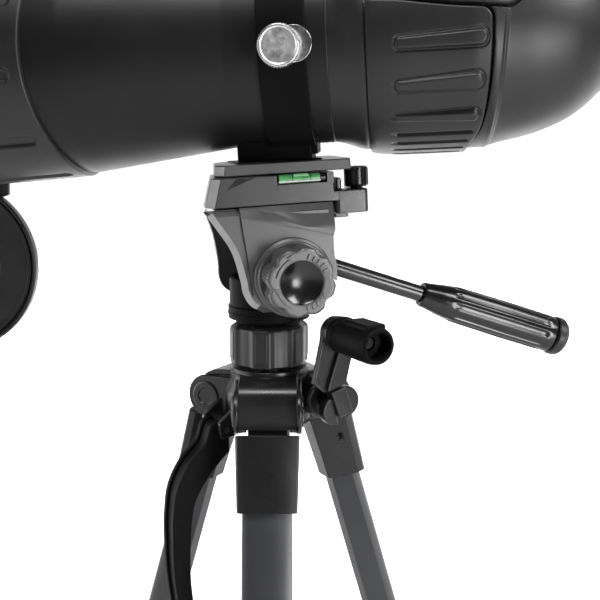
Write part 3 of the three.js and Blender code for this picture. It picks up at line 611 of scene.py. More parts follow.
def rear_armour():
    s, al, elev = rear_grid()
    d = panel_inside(s, elev)
    r = PANEL_R(s)
    for s0, s1, t0, b0, t1, b1 in RIBS:
        u = np.clip((s - s0) / (s1 - s0), 0, 1)
        top, low = t0 + (t1 - t0) * u, b0 + (b1 - b0) * u
        half = (top - low) / 2 * math.pi / 180 * 57
        across = np.abs(elev - (top + low) / 2) * math.pi / 180 * 57
        past = np.maximum(s - (s1 - half * 0.9), 0)
        before = np.maximum(s0 + half * 0.5 - s, 0)
        q = half - np.hypot(across, np.hypot(past / 0.9, before / 0.5))
        r = r + (0.9 + 1.5 * u) * quarter(q, 1.5) - 0.5 * np.exp(-(((q + 0.7) / 0.5) ** 2))
    for s0, s1, e0 in SLOTS:
        half = 1.5
        across = np.abs(elev - e0) * math.pi / 180 * 57
        past = np.maximum(np.maximum(s - (s1 - half), s0 + half - s), 0)
        r = r - 2.0 * smooth(half - np.hypot(across, past), -0.2, 0.6)
    r = r - 2.2 * (1 - quarter(d + 0.1, 1.2))
    P = polar(s, al, r)
    cell = np.minimum.reduce([d[:-1, :], d[1:, :]])
    near = np.minimum(cell, np.roll(cell, -1, 1))
    keep = (near > -0.15) & (s[:-1, :] > 44.5)
    part = Part().add(SCOPE, grid(P, wrap=True, keep=keep))
    part.make("rear_grip_panel", ARMOUR, "scope_body", ["rear_armour"], "armour", sharp=60, turn=False)


def rear_housing():
    s, al, elev = rear_grid()
    d = panel_inside(s, elev)
    h = hump_inside(s, elev)
    r = HULL(s)
    r = r + 3.0 * quarter(h, 2.6)
    ridge = 107.8 + 0.08 * elev
    r = r + 0.5 * np.exp(-(((s - ridge) / 0.65) ** 2)) * smooth(-h, -0.2, 1.2)
    r = r + 1.3 * smooth(s, 99, 103) * smooth(ridge - s, 0, 1.5) * smooth(-h, 0, 1)
    sunk = smooth(d, -1.0, -0.5) * smooth(s, 44, 47)
    r = r - 2.8 * sunk
    groove = smooth(h, -1.2, -0.7) * (1 - smooth(h, -0.25, 0.0)) * smooth(s, 55, 60)
    r = r - 1.2 * groove * (1 - sunk)
    P = polar(s, al, r)
    ends = [polar(np.full(al.shape[1], a), al[0], np.full(al.shape[1], q))
            for a, q in ((170, 22.6), (163.5, 22.4))]
    P = np.concatenate([P, np.stack(ends)])
    part = Part().add(SCOPE, grid(P, wrap=True))
    turret = fillet([(0, 47), (17.4, 47), (17, 61.8, 2.2), (9, 62.1), (3.4, 62.1), (3.4, 56), (0, 56)],
                    0.6, 6)
    part.add(SCOPE.shift(88, 0, 0), lathe(turret, 72))
    part.make("rear_housing_shell", ARMOUR, "scope_body", ["rear_housing"], "armour", sharp=60)


def focus_knob():
    top = fillet([(0, 61.6), (12, 61.6), (12, 62.5), (15.4, 62.6), (15.5, 74.3, 2.0), (11, 74.4),
                  (10.2, 73.6), (3, 73.6), (0, 73.6)], 0.6, 5)
    part = Part().add(SCOPE.shift(88, 0, 0), lathe(top, 160, lobes(15.5, 0.9, 20, 0.7)))
    part.add(SCOPE.shift(88, 0, 0), pin(2.9, 50, 62, 24))
    part.make("focus_wheel", RUBBER, "focus", ["focus_knob"], "grip")


def eyepiece():
    body = fillet([(17, 160), (22, 160), (22, 170.4), (25.4, 170.6, 0.8), (25.4, 177.4, 0.8), (20, 178),
                   (20, 213.6, 0.8), (15.2, 214), (15.2, 178)], 0.3, 4, True)
    part = Part().add(SCOPE.along_x(), lathe(body, 96))
    part.make("eyepiece_tube", MOULDING, "scope_body", ["eyepiece_barrel"], "moulding")
    zoom = fillet([(20.9, 178.7), (24.6, 178.7, 0.8), (25, 181.2, 0.4), (25, 194.8, 0.4), (24.4, 197.5, 1.0),
                   (20.9, 197.5)], 0.3, 4, True)

    def ribs(ang, r, h):
        return r - (0.9 * (np.abs(np.sin(18 * ang)) ** 0.6) if r > 23 and 180 < h < 196 else 0)

    part = Part().add(SCOPE.along_x(), lathe(zoom, 216, ribs))
    part.make("zoom_grip", RUBBER, "zoom", ["zoom_ring"], "grip")
    cup = fillet([(20.4, 198.6), (22.8, 198.6, 0.6), (23, 204, 0.6), (22.4, 205.4, 0.6), (22.4, 207, 0.6),
                  (23, 208.4, 0.6), (23.2, 224, 4), (24.9, 236, 0.8), (23.6, 236.9, 0.5), (20.4, 226, 3)],
                 0.3, 5, True)
    part = Part().add(SCOPE.along_x(), lathe(cup, 96))
    part.make("eyecup_rubber", RUBBER, "eye_cup", ["eyecup"], "grip")
    glass = fillet([(0, 205), (14.6, 205, 0.5), (14.6, 208.6, 0.5), (9, 210.2, 6), (0, 210.8)], 0.4, 8)
    part = Part().add(SCOPE.along_x(), lathe(glass, 72))
    part.make("eye_glass", LENS, "scope_body", ["eye_lens"], "lens")


def objective():
    dome = [(r, -178 + 4.2 * (r / 55) ** 2) for r in np.linspace(0, 54.6, 14)]
    rim = [(57.1, -174), (57.1, -166), (50, -165.4), (0, -165)]
    part = Part().add(SCOPE.along_x(), lathe(dome + rim, 128))
    part.make("objective_glass", LENS, "scope_body", ["objective_lens"], "lens")


def collar():
    part = Part()
    a, b = COLLAR_S - COLLAR_W / 2, COLLAR_S + COLLAR_W / 2
    ring = fillet([(49.9, a), (COLLAR_R, a), (COLLAR_R, b), (49.9, b)], 0.7, 4, True)
    part.add(SCOPE.along_x(), lathe(ring, 180))
    foot = [(-23, -13.2), (15, -13.2), (15, 13.2), (-23, 13.2)]
    part.add(SCOPE, slab(fillet(foot, 1.2, 4, True), -57, -45.6, 0.7))
    part.add(SCOPE, slab(rect(24, 23.2, 1.0, COLLAR_S), -54, -40, 0.6))
    seat = fillet([(0, 49.6), (8.6, 49.6), (8.4, 52.6), (0, 52.8)], 0.5)
    part.add(SCOPE.shift(COLLAR_S, 0, -3).front(), lathe(seat, 48))
    part.make("mount_collar", CASE, "plate", ["tripod_collar"], "moulding")


def thumbscrew():
    f = SCREW.front()
    part = Part()
    rim = fillet([(0, 0.15), (9.6, 0.15, 0.5), (10, 1.2), (10, 6.0), (9.3, 6.9, 0.6), (8.4, 7.0),
                  (7.9, 6.6), (0, 6.6)], 0.25, 3)

    def knurl(ang, r, h):
        return r - (0.55 * np.abs(np.sin(24 * ang)) if r > 9.4 else 0)

    part.add(f, lathe(rim, 384, knurl))
    part.add(f, pin(2.8, -4.4, 0.4, 24))
    part.make("collar_screw", STEEL, "thumbscrew", ["collar_thumbscrew"], "steel", sharp=30)
    ring = fillet([(3.3, -1.8), (9.3, -1.8), (9.3, -0.4), (3.3, -0.4)], 0.4, 3, True)
    part = Part().add(f, lathe(ring, 72))
    seat = fillet([(0, -2.2), (8.4, -2.2), (8.4, -0.9), (0, -0.8)], 0.3)
    part.add(SCREW.shift(6.2, 0, 0.8).front(), lathe(seat, 64))
    part.make("collar_screw_washer", PLATED, "plate", ["thumbscrew_washer"], "steel")


hood()
barrel()
rear_armour()
rear_housing()
focus_knob()
eyepiece()
objective()
collar()
thumbscrew()


# ---------------------------------------------------------------- head
CHEEK_IN, CHEEK_OUT, HEAD_HALF = 22.3, 26.0, 24.5
FACE_Y = 27.8
DECK_LOW, DECK_TOP, PLATE_LOW, PLATE_TOP = 36.6, 51.2, 51.8, 57.3
# How far the painted highlight strips stand proud of the surface under them, and how far they reach into it.
HIGHLIGHT_PROUD, HIGHLIGHT_DEEP = 0.08, 0.4
FLANK_RIGHT, ROOF_Z, SWING_R = 23.2, 31.8, 21.5
FRONT = TILT.front()


def flank(edge):
    """Side outline of a cheek: a flared, hollow left edge and an upright right one."""
    low = arc(0, 0, 19.2, 247, 300, 8)
    right = bezier((16, -10), (20, 4), (22.2, 10), 6)
    return curve(edge, 6) + low + right + [(FLANK_RIGHT, 24), (FLANK_RIGHT, 35.6)]


def relief(front, back_y):
    """Closed solid between a grid of points and its flat copy at back_y."""
    n, m = front.shape[:2]
    back = front.copy()
    back[..., 1] = back_y
    v = np.concatenate([front.reshape(-1, 3), back.reshape(-1, 3)])
    idx = np.arange(n * m).reshape(n, m)
    f = []
    for i in range(n - 1):
        for k in range(m - 1):
            q = (idx[i, k], idx[i, k + 1], idx[i + 1, k + 1], idx[i + 1, k])
            f.append(q)
            f.append(tuple(a + n * m for a in q[::-1]))
    rim = list(idx[0]) + list(idx[1:, -1]) + list(idx[-1, -2::-1]) + list(idx[-2:0:-1, 0])
    for a, b in zip(rim, rim[1:] + rim[:1]):
        f.append((a, a + n * m, b + n * m, b))
    return v, [tuple(int(a) for a in q) for q in f]


def slope(h, crease, upper):
    """How far the face has leaned back at height h: gently above the crease, more above upper."""
    return 0.16 * max(0.0, h - crease) + 0.34 * max(0.0, h - upper)


def face_relief(side):
    """Front face of the head: upright below a crease that falls to the right, leaning back above it."""
    rows = 34
    levels = 30
    left = ease((-8, 8.7, 32.7, 36.2), (-20.8, -22.2, -24.7, -24.9))
    right = ease((-8, 12, 17.4, 23.7, 36.2), (18.6, 20.6, 21.4, 23.0, 23.0))
    P = np.zeros((rows, levels, 3))
    for i, u in enumerate(np.linspace(0, 1, rows)):
        x_mid = -24.7 + u * 47.4
        crease = 32.4 - 12.2 * u
        upper = 33.6 - 8.6 * smooth(np.array(x_mid), -12, 9)
        upper = max(float(upper) if x_mid > -12 else 35.4, crease + 0.3)
        zs = np.concatenate([np.linspace(-8, crease - 1.6, 9), crease + np.linspace(-1.1, 1.1, 9),
                             np.linspace(crease + 1.6, 36.2, 12)])
        for k, z in enumerate(zs):
            rounded = 0.12 * math.exp(-((z - crease) / 0.9) ** 2)
            top_lean = 3.1 * slope(z, crease, upper) / slope(36.2, crease, upper) + rounded
            x = float(left(np.array(z))) + u * float(right(np.array(z)) - left(np.array(z)))
            P[i, k] = (x, -(FACE_Y - top_lean) * side, z)
    return relief(P, -(CHEEK_OUT - 2) * side)


def ribbon(near, far, out):
    """Thin closed strip between two rows of points, standing just proud along out."""
    near, far, out = np.array(near, float), np.array(far, float), np.array(out, float)
    proud, deep = out * HIGHLIGHT_PROUD, out * HIGHLIGHT_DEEP
    rows = [near + proud, far + proud, far - deep, near - deep]
    n = len(near)
    v = np.concatenate(rows)
    f = [(0, n, 2 * n, 3 * n), (n - 1, 4 * n - 1, 3 * n - 1, 2 * n - 1)]
    for k in range(4):
        a, b = k * n, (k + 1) % 4 * n
        f += [(a + i, a + i + 1, b + i + 1, b + i) for i in range(n - 1)]
    return v, f


def fin_painted_highlights(front_edge, rear_edge):
    """Painted highlights: light grey strips along the chamfers on the left edges of the two fins, standing in
    for the reflection they catch.
    """
    part = Part()
    xz = np.array(curve(front_edge, 6))[2:-3]
    step = np.gradient(xz, axis=0)
    step /= np.linalg.norm(step, axis=1)[:, None]
    inner = xz + np.stack([-step[:, 1], step[:, 0]], 1) * 2.9
    depth = np.ones(len(xz))
    near = np.stack([xz[:, 0], -(CHEEK_IN + 0.4) * depth, xz[:, 1]], 1)
    far = np.stack([inner[:, 0], -(CHEEK_OUT - 0.1) * depth, inner[:, 1]], 1)
    part.add(TILT, ribbon(near, far, (-0.6, -0.8, 0)))
    xz = np.array(curve(rear_edge, 6))[4:-8]
    depth = np.ones(len(xz))
    near = np.stack([xz[:, 0], 20.9 * depth, xz[:, 1]], 1)
    far = np.stack([xz[:, 0], 24.6 * depth, xz[:, 1]], 1)
    part.add(TILT, ribbon(near, far, (-1, 0, 0)))
    part.make("fin_painted_highlights", PAINTED_SHEEN, "tilt_head", [], "head_moulding", sharp=40)


def painted_corner_highlight(name, body, low, high, near, far, out):
    """Painted highlight: a light grey strip on a left corner's facet, standing in for the reflection it
    catches. near and far each give (x at low, x at high, y).
    """
    rows = [[(x0, y, low), (x1, y, high)] for x0, x1, y in (near, far)]
    Part().add(TILT, ribbon(*rows, out)).make(name, PAINTED_SHEEN, body, [], "head_moulding", sharp=40)


def tilt_body():
    part = Part()
    front_edge = [(-42.6, 35.6), (-37.2, 27.4), (-29.8, 14.6), (-26.2, 0), (-25.2, -6.8), (-21.9, -13.2),
                  (-15.5, -17.6)]
    rear_edge = [(-36.2, 35.6), (-35.0, 28.1), (-32.4, 19), (-30.8, 5.9), (-30.4, -5.6), (-26.6, -12),
                 (-15.5, -17.6)]
    for side, edge in ((1, front_edge), (-1, rear_edge)):
        rim = flank(edge)
        if area2(rim) < 0:
            rim = rim[::-1]
        levels = [CHEEK_IN * side, (CHEEK_IN + 0.3) * side, CHEEK_OUT * side]
        part.add(FRONT, loft([rim, rim, inset(rim, 3.0)], levels))
    for side in (1, -1):
        part.add(TILT, face_relief(side))
    boss = fillet([(0, 24), (19.9, 24), (20.2, 29.6, 1.0), (18.6, 30.6, 0.3), (18.2, 31.9, 0.5), (0, 31.9)],
                  0.5, 4)
    part.add(FRONT, lathe(boss, 96))
    part.add(FRONT, pin(7, -30.6, -27, 40))
    core = [(-36.8, 35.8), (-35.4, ROOF_Z), (-24.0, ROOF_Z)]
    core += bezier((-24, ROOF_Z), (-14, SWING_R), (0, SWING_R), 8)
    core += arc(0, 0, SWING_R, 90, -8, 18) + [(24.0, -4.9), (24.4, 3), (FLANK_RIGHT, 9.4), (22.9, 35.8)]
    part.add(FRONT, slab(core, -CHEEK_IN - 0.6, CHEEK_IN + 0.6, 0.3, 2))
    # pointer above the knob
    part.add(FRONT, slab([(-3.4, 17.2), (3.0, 17.2), (0.4, 19.2)], 30.4, 31.2, 0.15, 2))
    # Painted highlights: light grey strips on the fin chamfers and on the platform's and plate's left facets.
    fin_painted_highlights(front_edge, rear_edge)
    painted_corner_highlight("platform_painted_highlight", "tilt_head", DECK_LOW + 0.5, DECK_TOP - 0.5,
                 (-36.9, -33.1, -24.1), (-40.3, -36.6, -16.8), (-0.9, -0.43, 0))
    painted_corner_highlight("plate_painted_highlight", "plate", PLATE_LOW + 0.5, PLATE_TOP - 0.6,
                 (-31.1, -30.6, -22.0), (-34.6, -34.2, -15.0), (-0.88, -0.45, 0))
    part.make("tilt_yoke", HEAD, "tilt_head", ["tilt_body", "tilt_axle"], "head_moulding", sharp=26)


def deck_outline(z, right):
    """Plan of the platform at a height: cut corners at the left, where its end leans in as it rises."""
    w = HEAD_HALF
    left = -40.6 + (z - DECK_LOW) * 3.8 / (DECK_TOP - DECK_LOW)
    q = [(left + 4.0, -w, 0.4), (right, -w, 0.8), (right, w, 3), (left + 10, w, 4), (left + 4, w * 0.66, 4),
         (left, -w * 0.66, 0.6)]
    return fillet(q, 1, 4, True)


def platform():
    part = Part()
    step = 46.2
    low, mid = deck_outline(DECK_LOW, 24.2), deck_outline(step, 24.2)
    part.add(TILT, loft([inset(low, 0.4), low, mid], [DECK_LOW, DECK_LOW + 0.4, step]))
    left_low, left_top = deck_outline(step, -4.8), deck_outline(DECK_TOP, -4.8)
    part.add(TILT, loft([left_low, left_top, inset(left_top, 0.4)], [step, DECK_TOP - 0.4, DECK_TOP]))
    part.add(TILT, slab(rect(29.0, 45.4, 0.3, 9.7, 1.8), step - 0.2, DECK_TOP, 0.2, 2))
    part.add(TILT, slab(rect(3.6, 4.6, 0.2, 22.4, -HEAD_HALF + 2.3), step - 0.2, DECK_TOP, 0.1, 2))
    # lever block, flush with the front
    part.add(TILT, slab(rect(17.4, 45, 2.4, 33.3, -2.0), 29.8, 41.8, 0.9))
    part.add(TILT, slab(rect(9.0, 48.9, 0.4, 24.4, 0), DECK_LOW, 41.4, 0.3, 2))
    part.add(TILT, slab(rect(7.6, 30, 1.0, 28.8, -4), 27.4, 30.4, 0.5))
    part.add(TILT, slab(rect(2.6, 14, 0.8, 28.0, -12), 41.0, 47.6, 0.5))
    part.make("head_platform", DECK, "tilt_head", ["platform"], "moulding", sharp=26)
    part = Part()
    # Painted shade: a flat glossy black sheet laid on the platform's front, standing in for the shade of a
    # recess there.
    painted_shade_outline = fillet([(-31.0, 44.9), (-25.2, 50.6), (-14.8, 50.9), (-21.5, 48.6)], 0.3, 3, True)
    part.add(FRONT, slab(painted_shade_outline, 23.9, 24.56, 0.05, 1))
    part.make("platform_painted_shade", GLOSS, "tilt_head", [], "moulding")
    part = Part().add(TILT.shift(29.9, -18.6, 44.2), slab(rect(1.6, 1.6, 0.3), -2.2, 2.2, 0.3))
    part.make("release_catch", PLATED, "tilt_head", [], "steel")


def vial():
    """Bubble level let into the platform: liquid, white bed, level lines with an end plug, bubble."""
    f = TILT.shift(7.8, -HEAD_HALF + 2.0, 48.9)
    part = Part().add(f.along_x(), pin(2.25, -11.7, 9.4, 40, 0.5, 5))
    part.make("vial_tube", VIAL, "tilt_head", ["bubble_vial"], "vial")
    part = Part().add(f.shift(0, -0.25, -1.75), slab(rect(21.4, 3.6, 0.3, -1.1), 0, 0.9, 0.2))
    part.make("vial_bed", WHITE, "tilt_head", [], "moulding")
    part = Part()
    for x in (-4.8, 4.4):
        line = [(2.2, -0.22), (2.36, -0.22), (2.36, 0.22), (2.2, 0.22)]
        part.add(f.shift(x, 0, 0).along_x(), lathe(line, 40))
    part.add(f.shift(10.6, 0, 0).along_x(), pin(2.4, -1.3, 1.5, 32, 0.3))
    part.make("vial_lines", GLOSS, "tilt_head", [], "moulding")
    part = Part().add(f.shift(-0.3, -0.7, 1.15).along_x(), pin(1.3, -3.9, 3.9, 32, 1.2, 6))
    part.make("vial_bubble", VIAL_LIGHT, "tilt_head", [], "vial")


def release():
    f = TILT.shift(39, -13, 0)
    prof = fillet([(0, 42.3), (5.4, 42.3), (6.2, 43.4), (6.2, 51.2), (5.6, 52.4), (4.8, 52.5), (4.2, 52.0),
                   (0, 52.0)], 0.4, 3)

    def ribs(ang, r, h):
        return r - (0.75 * (0.5 - 0.5 * np.sign(np.sin(14 * ang))) if r > 5.9 and 43 < h < 51.6 else 0)

    part = Part().add(f, lathe(prof, 280, ribs))
    part.add(f, pin(3.2, 40.5, 42.6, 24))
    part.make("release_wheel", MOULDING, "release", ["release_knob"], "moulding")


def plate():
    part = Part()

    def outline(grow, shift):
        w = 22.4 + grow
        right = 35.0 + grow
        q = [(-30.8 - grow + shift, -w, 0.5), (33.8 + grow, -w, 1.0), (right, -w + 4, 1), (right, w - 4, 2),
             (32, w, 2), (-26, w, 4), (-31 - grow, 14, 4), (-34.8 - grow + shift, -14.5, 0.6)]
        return fillet(q, 1, 4, True)

    low, top = outline(0, 0), outline(-0.2, 0.5)
    levels = [PLATE_LOW, PLATE_LOW + 0.4, PLATE_TOP - 0.5, PLATE_TOP]
    part.add(TILT, loft([inset(low, 0.4), low, top, inset(top, 0.5)], levels))
    part.make("quick_plate", HEAD, "plate", ["quick_release_plate"], "head_moulding", sharp=26)
    part = Part()
    part.add(TILT, slab(rect(46, 32, 5, -1), 57.0, 57.6, 0.2, 2))
    for i in range(-5, 6):
        part.add(TILT, slab(rect(44, 1.6, 0.7, -1, i * 2.8), 57.4, 57.95, 0.2, 2))
    part.make("plate_cork", RUBBER, "plate", ["plate_pad"], "grip")


def ring_slab(r0, r1, a0, a1, z0, z1, n=18):
    """Raised mark: a piece of a ring between two radii and two angles."""
    q = arc(0, 0, r1, a0, a1, n) + arc(0, 0, r0, a1, a0, n)
    return slab(q, z0, z1, 0.12, 2)


def tilt_knob():
    part = Part()
    f = FRONT
    lobe_count = 8
    side = fillet([(0, 32.4), (16.4, 32.4), (17.5, 33.4), (17.5, 45.6), (17.0, 46.8), (16.2, 47.3),
                   (14.9, 47.3), (11.4, 47.2), (10.7, 46.9)], 0.6, 3)
    dish = [(r, 43.4 + 3.4 * (r / 10.7) ** 2.2) for r in np.linspace(10.6, 0, 14)]

    def shape(ang, r, h):
        if r < 12.5:
            return np.full(len(ang), float(r))
        valley = np.abs(np.sin(lobe_count * (ang + 0.28) / 2))
        w = (r - 12.5) / 5.0
        teeth = 0.22 * np.sign(np.sin(72 * ang)) * (valley < 0.72)
        return r - w * (1.9 * valley**5) + (teeth if 34 < h < 46 and r > 17 else 0)

    part.add(f, lathe(side, 432, shape))
    part.make("tilt_knob_body", HEAD, "tilt_knob", ["tilt_lock_knob"], "grip", sharp=40)
    part = Part().add(f, lathe([(10.75, 47.0)] + dish, 96))
    part.make("tilt_knob_dish", GLOSS, "tilt_knob", [], "grip", sharp=60)
    # two turning arrows and two rows of ticks
    part = Part()
    part.add(f, ring_slab(12.4, 13.2, 112, 164, 47.0, 48.1))
    part.add(f, slab([(-6.9, 12.9), (-3.2, 14.9), (-4.4, 10.9)], 47.0, 48.1, 0.12, 2))
    part.add(f, ring_slab(12.4, 13.2, 196, 246, 47.0, 48.1))
    part.add(f, slab([(-12.0, -5.6), (-14.0, -1.6), (-10.4, -2.4)], 47.0, 48.1, 0.12, 2))
    for a in range(22, 82, 12):
        part.add(f, ring_slab(11.9, 14.4, a, a + 4.5, 47.0, 48.0, 3))
    for a in range(-82, -22, 12):
        part.add(f, ring_slab(11.9, 13.8, a, a + 4.5, 47.0, 48.0, 3))
    part.make("tilt_knob_marks", HEAD, "tilt_knob", [], "grip")


def pan_handle():
    f = HANDLE.along_x()
    part = Part().add(f, pin(4.5, 18.6, 96, 64, 0.4))
    part.make("handle_bar", ROD, "pan_handle", ["handle_rod"], "rod")
    grip = fillet([(4.8, 76), (6.6, 76, 1.0), (7.2, 80, 3), (8.6, 88, 8), (9.9, 97, 6), (10.4, 128, 20),
                   (10.3, 157.6, 1.2), (9.2, 158.6), (0, 158.6)], 1, 5)

    def flutes(ang, r, h):
        w = float(smooth(np.array(h), 92, 99) * (1 - smooth(np.array(h), 150, 154.5)))
        return r - 1.0 * w * smooth(np.abs(np.sin(5 * ang)), 0.55, 0.95)

    dense = []
    for (r0, h0), (r1, h1) in zip(grip[:-1], grip[1:]):
        k = max(1, int(abs(h1 - h0) / 1.2))
        dense += [(r0 + (r1 - r0) * i / k, h0 + (h1 - h0) * i / k) for i in range(k)]
    dense.append(grip[-1])
    part = Part().add(f, lathe(dense, 180, flutes))
    part.make("handle_grip_body", GLOSS, "pan_handle", ["handle_grip"], "moulding", sharp=50)
    end = fillet([(0, 158.9), (10.2, 158.9), (10.9, 159.8), (10.9, 163.4, 1.2), (9.4, 165.8, 1.4), (6, 166.5),
                  (0, 166.6)], 0.5, 5)
    part = Part().add(f, lathe(end, 96))
    part.make("handle_end_cap", RUBBER, "pan_handle", ["grip_end_cap"], "grip")


def pan_base():
    part = Part()
    case = fillet([(0, -9.4), (19.4, -9.4), (21.6, -8.6, 0.6), (21.7, -2.2, 0.6), (20.9, -1.4, 0.3),
                   (20.7, 12.6, 0.6), (19.6, 13.4), (0, 13.6)], 0.5, 4)
    part.add(PAN, lathe(case, 128))
    crown = fillet([(0, -19.2), (19.0, -19.2), (20.2, -18), (20.2, 18), (19.0, 19.2), (0, 19.2)], 0.8, 4)
    part.add(PAN.shift(TILT_X, 0, TILT_Z).front(), lathe(crown, 96))
    part.add(PAN, lathe([(21.55, -6.4), (21.95, -6.2), (21.95, -5.2), (21.55, -5.0)], 128))
    part.make("pan_case", CASE, "pan_head", ["pan_base"], "moulding", sharp=35)


# ---------------------------------------------------------------- column, hub, crank
RACK_TEETH, RACK_PITCH = 60, 3.4


def column():
    part = Part()
    shaft = fillet([(0, -235), (11, -235), (11, -10.6), (8, -10.4), (8, -4.6), (0, -4.6)], 0.4)
    part.add(STAND, lathe(shaft, 72))
    for i in range(RACK_TEETH):
        z = -228 + i * RACK_PITCH
        part.add(STAND.turn("Z", 120), slab(rect(4.0, 1.2, 0.3, 0, -10.6), z, z + 1.6, 0.3, 2))
    part.make("column_tube", INNER, "column", ["center_column"], "inner_tube")
    prof = fillet([(11.5, -33.8), (19.6, -33.8), (20.8, -32.6), (20.9, -13.4, 2.2), (18.0, -11.2, 1.0),
                   (11.5, -11.0)], 0.8, 5, True)

    def shape(ang, r, h):
        if r < 14:
            return np.full(len(ang), float(r))
        q = np.abs(np.sin(3 * (ang - math.radians(20))))
        return r - 1.7 * smooth(q, 0.55, 0.95) * (r / 21)

    part = Part().add(STAND, lathe(prof, 360, shape))
    for a in range(6):
        f = STAND.turn("Z", 20 + a * 60)
        part.add(f.shift(20.3, 0, 0), slab(rect(1.6, 6.5, 0.6), -30.5, -14.5, 0.5, 3))
    part.make("lock_collar", RUBBER, "column_lock", ["column_lock_collar"], "grip", sharp=50)


SHOULDER_R, SHOULDER_Z = 29.5, -52.5  # leg pivots, from the column's axis and the pan joint


def outward(i):
    """Frame of leg i's shoulder: X outward, Y across, Z up."""
    return STAND.turn("Z", i * 120 - 90)


def hub():
    part = Part()
    core = fillet([(11.6, -64.8), (22, -64.8), (24, -61.6), (24.4, -48, 6), (21.2, -38.6, 3), (20.6, -36.2),
                   (20.6, -34.8), (11.6, -34.8)], 0.8, 5, True)
    part.add(STAND, lathe(core, 128))
    bead = fillet([(20, -38.6), (21.6, -38.2), (21.6, -37.2), (20, -36.8)], 0.4, 3, True)
    part.add(STAND, lathe(bead, 128))
    top = curve([(12, -36.8), (21, -37.2), (28, -38.6), (32.4, -41.8), (34.2, -46.4), (34.8, -53),
                 (35.0, -60.8)], 6)
    inner = curve([(33.2, -60.8), (32.9, -53), (32.2, -47.2), (30.2, -43.6), (26.6, -41.2), (19, -40.0),
                   (12, -39.8)], 6)
    for i in range(3):
        f = outward(i).front()
        part.add(f, slab(top + inner, -15.2, 15.2, 0.7, 4))
        cheek = inner[::-1] + [(30, -60.6), (27.5, -64.6), (12, -64.2)]
        yoke = arc(SHOULDER_R, SHOULDER_Z, 11.6, -70, 96, 14)
        yoke += [(20, -40.4), (12, -39.6), (12, -62), (24, -63.5)]
        for a, b in ((-15.4, -11.2), (11.2, 15.4)):
            part.add(f, slab(cheek, a, b, 0.4, 2))
        for s in (1, -1):
            part.add(f, slab(yoke, *sorted((s * 14.6, s * 17.4)), 0.9, 3))
            pivot = fillet([(0, 0), (8.2, 0), (8.2, 0.7), (7.4, 1.0), (4.6, 1.0), (4.2, 0.5), (0, 0.5)],
                           0.2, 2)
            g = outward(i).shift(SHOULDER_R, -s * 17.3, SHOULDER_Z)
            part.add(g.front() if s > 0 else g.back(), lathe(pivot, 48))
    case = fillet([(4.4, -6), (9.6, -6), (10.5, -5), (10.5, 29.6), (9.4, 30.8), (4.4, 30.8)], 0.6, 4, True)
    part.add(CRANK.front(), lathe(case, 72))
    lug = fillet([(-13, -2), (3.6, -5), (4.2, 3.6), (-6, 12), (-13, 12)], 2.0, 4, True)
    for a, b in ((-11, -7.6), (7.6, 11)):
        part.add(CARRY.front(), slab(lug, a, b, 0.5, 2))
    part.add(CARRY.front(), pin(1.9, -11.4, 11.4, 24))
    part.make("tripod_hub", MOULDING, "stand_hub", ["hub"], "moulding", sharp=35)


CRANK_ARM = 37


def crank():
    f = CRANK.front()
    part = Part()
    part.add(f, pin(4, -2, 38.6, 48, 0.3))
    part.make("crank_spindle", MOULDING, "crank", ["crank_shaft"], "steel")
    part = Part()
    arm = arc(0, CRANK_ARM, 8.6, -12, 190, 22)
    arm += [(-9.6, 30), (-13.8, 12), (-7.4, 6.6), (4.2, 10.4), (7.6, 23.8)]
    part.add(f, slab(arm, 38.2, 41.8, 0.8, 3))
    part.add(f, slab(arc(0, CRANK_ARM, 8.9, 0, 350, 40), 41.4, 45.0, 0.5, 2))
    part.make("crank_lever", MOULDING, "crank", ["crank_arm"], "head_moulding", sharp=30)
    part = Part()
    web = fillet([(0.6, 31.4), (7.2, 24.6), (3.9, 10.9), (-7.0, 7.4), (-6.0, 12)], 0.8, 3, True)
    part.add(f, slab(web, 41.0, 44.6, 0.5, 3))
    link = fillet([(-5.8, 7.4), (2.4, 9.6), (7.4, -4.2), (-0.8, -6.4)], 1.0, 4, True)
    part.add(f, slab(link, 38.4, 46.2, 0.7, 3))
    right_ear = arc(4.8, 0.4, 8.4, -82, 98, 18)
    part.add(f, slab(right_ear, 38.2, 42.6, 0.9, 3))
    left_ear = arc(-1.6, -3.4, 7.4, 105, 285, 18)
    part.add(f, slab(left_ear, 38.2, 43.4, 0.9, 3))
    part.make("crank_link", MOULDING, "crank", [], "head_moulding", sharp=30)
    g = CRANK.shift(0, 0, CRANK_ARM).front()
    part = Part().add(g, pin(2.9, 44.6, 70, 32, 0.3))
    part.make("crank_pin", MOULDING, "crank", [], "steel")
    knob = fillet([(3.4, 45.8), (8.4, 45.8), (9.3, 46.6), (9.3, 49.4), (8.8, 50.2, 0.6), (9.2, 54, 1.5),
                   (9.6, 66, 3), (9.6, 75, 2), (8.9, 78.6, 1.0), (8.2, 79.2), (7.1, 79.1), (6.8, 78.2),
                   (6.6, 71), (3.4, 70.4)], 0.4, 5, True)
    part = Part().add(g, lathe(knob, 96))
    part.add(g, slab(rect(11.5, 5.0, 1.4, 0, 7.6), 56.5, 76.5, 1.2, 4))
    part.make("crank_handle", CASE, "crank_grip", ["crank_knob"], "grip", sharp=40)


# ---------------------------------------------------------------- legs
LEG_W, LEG_D, LEG_INNER = 25.2, 15.5, 8.0
LEG_TOP, LEG_LOW, LEG_REACH, LOWER_TOP = -19.0, -334.0, 397.0, 200.0


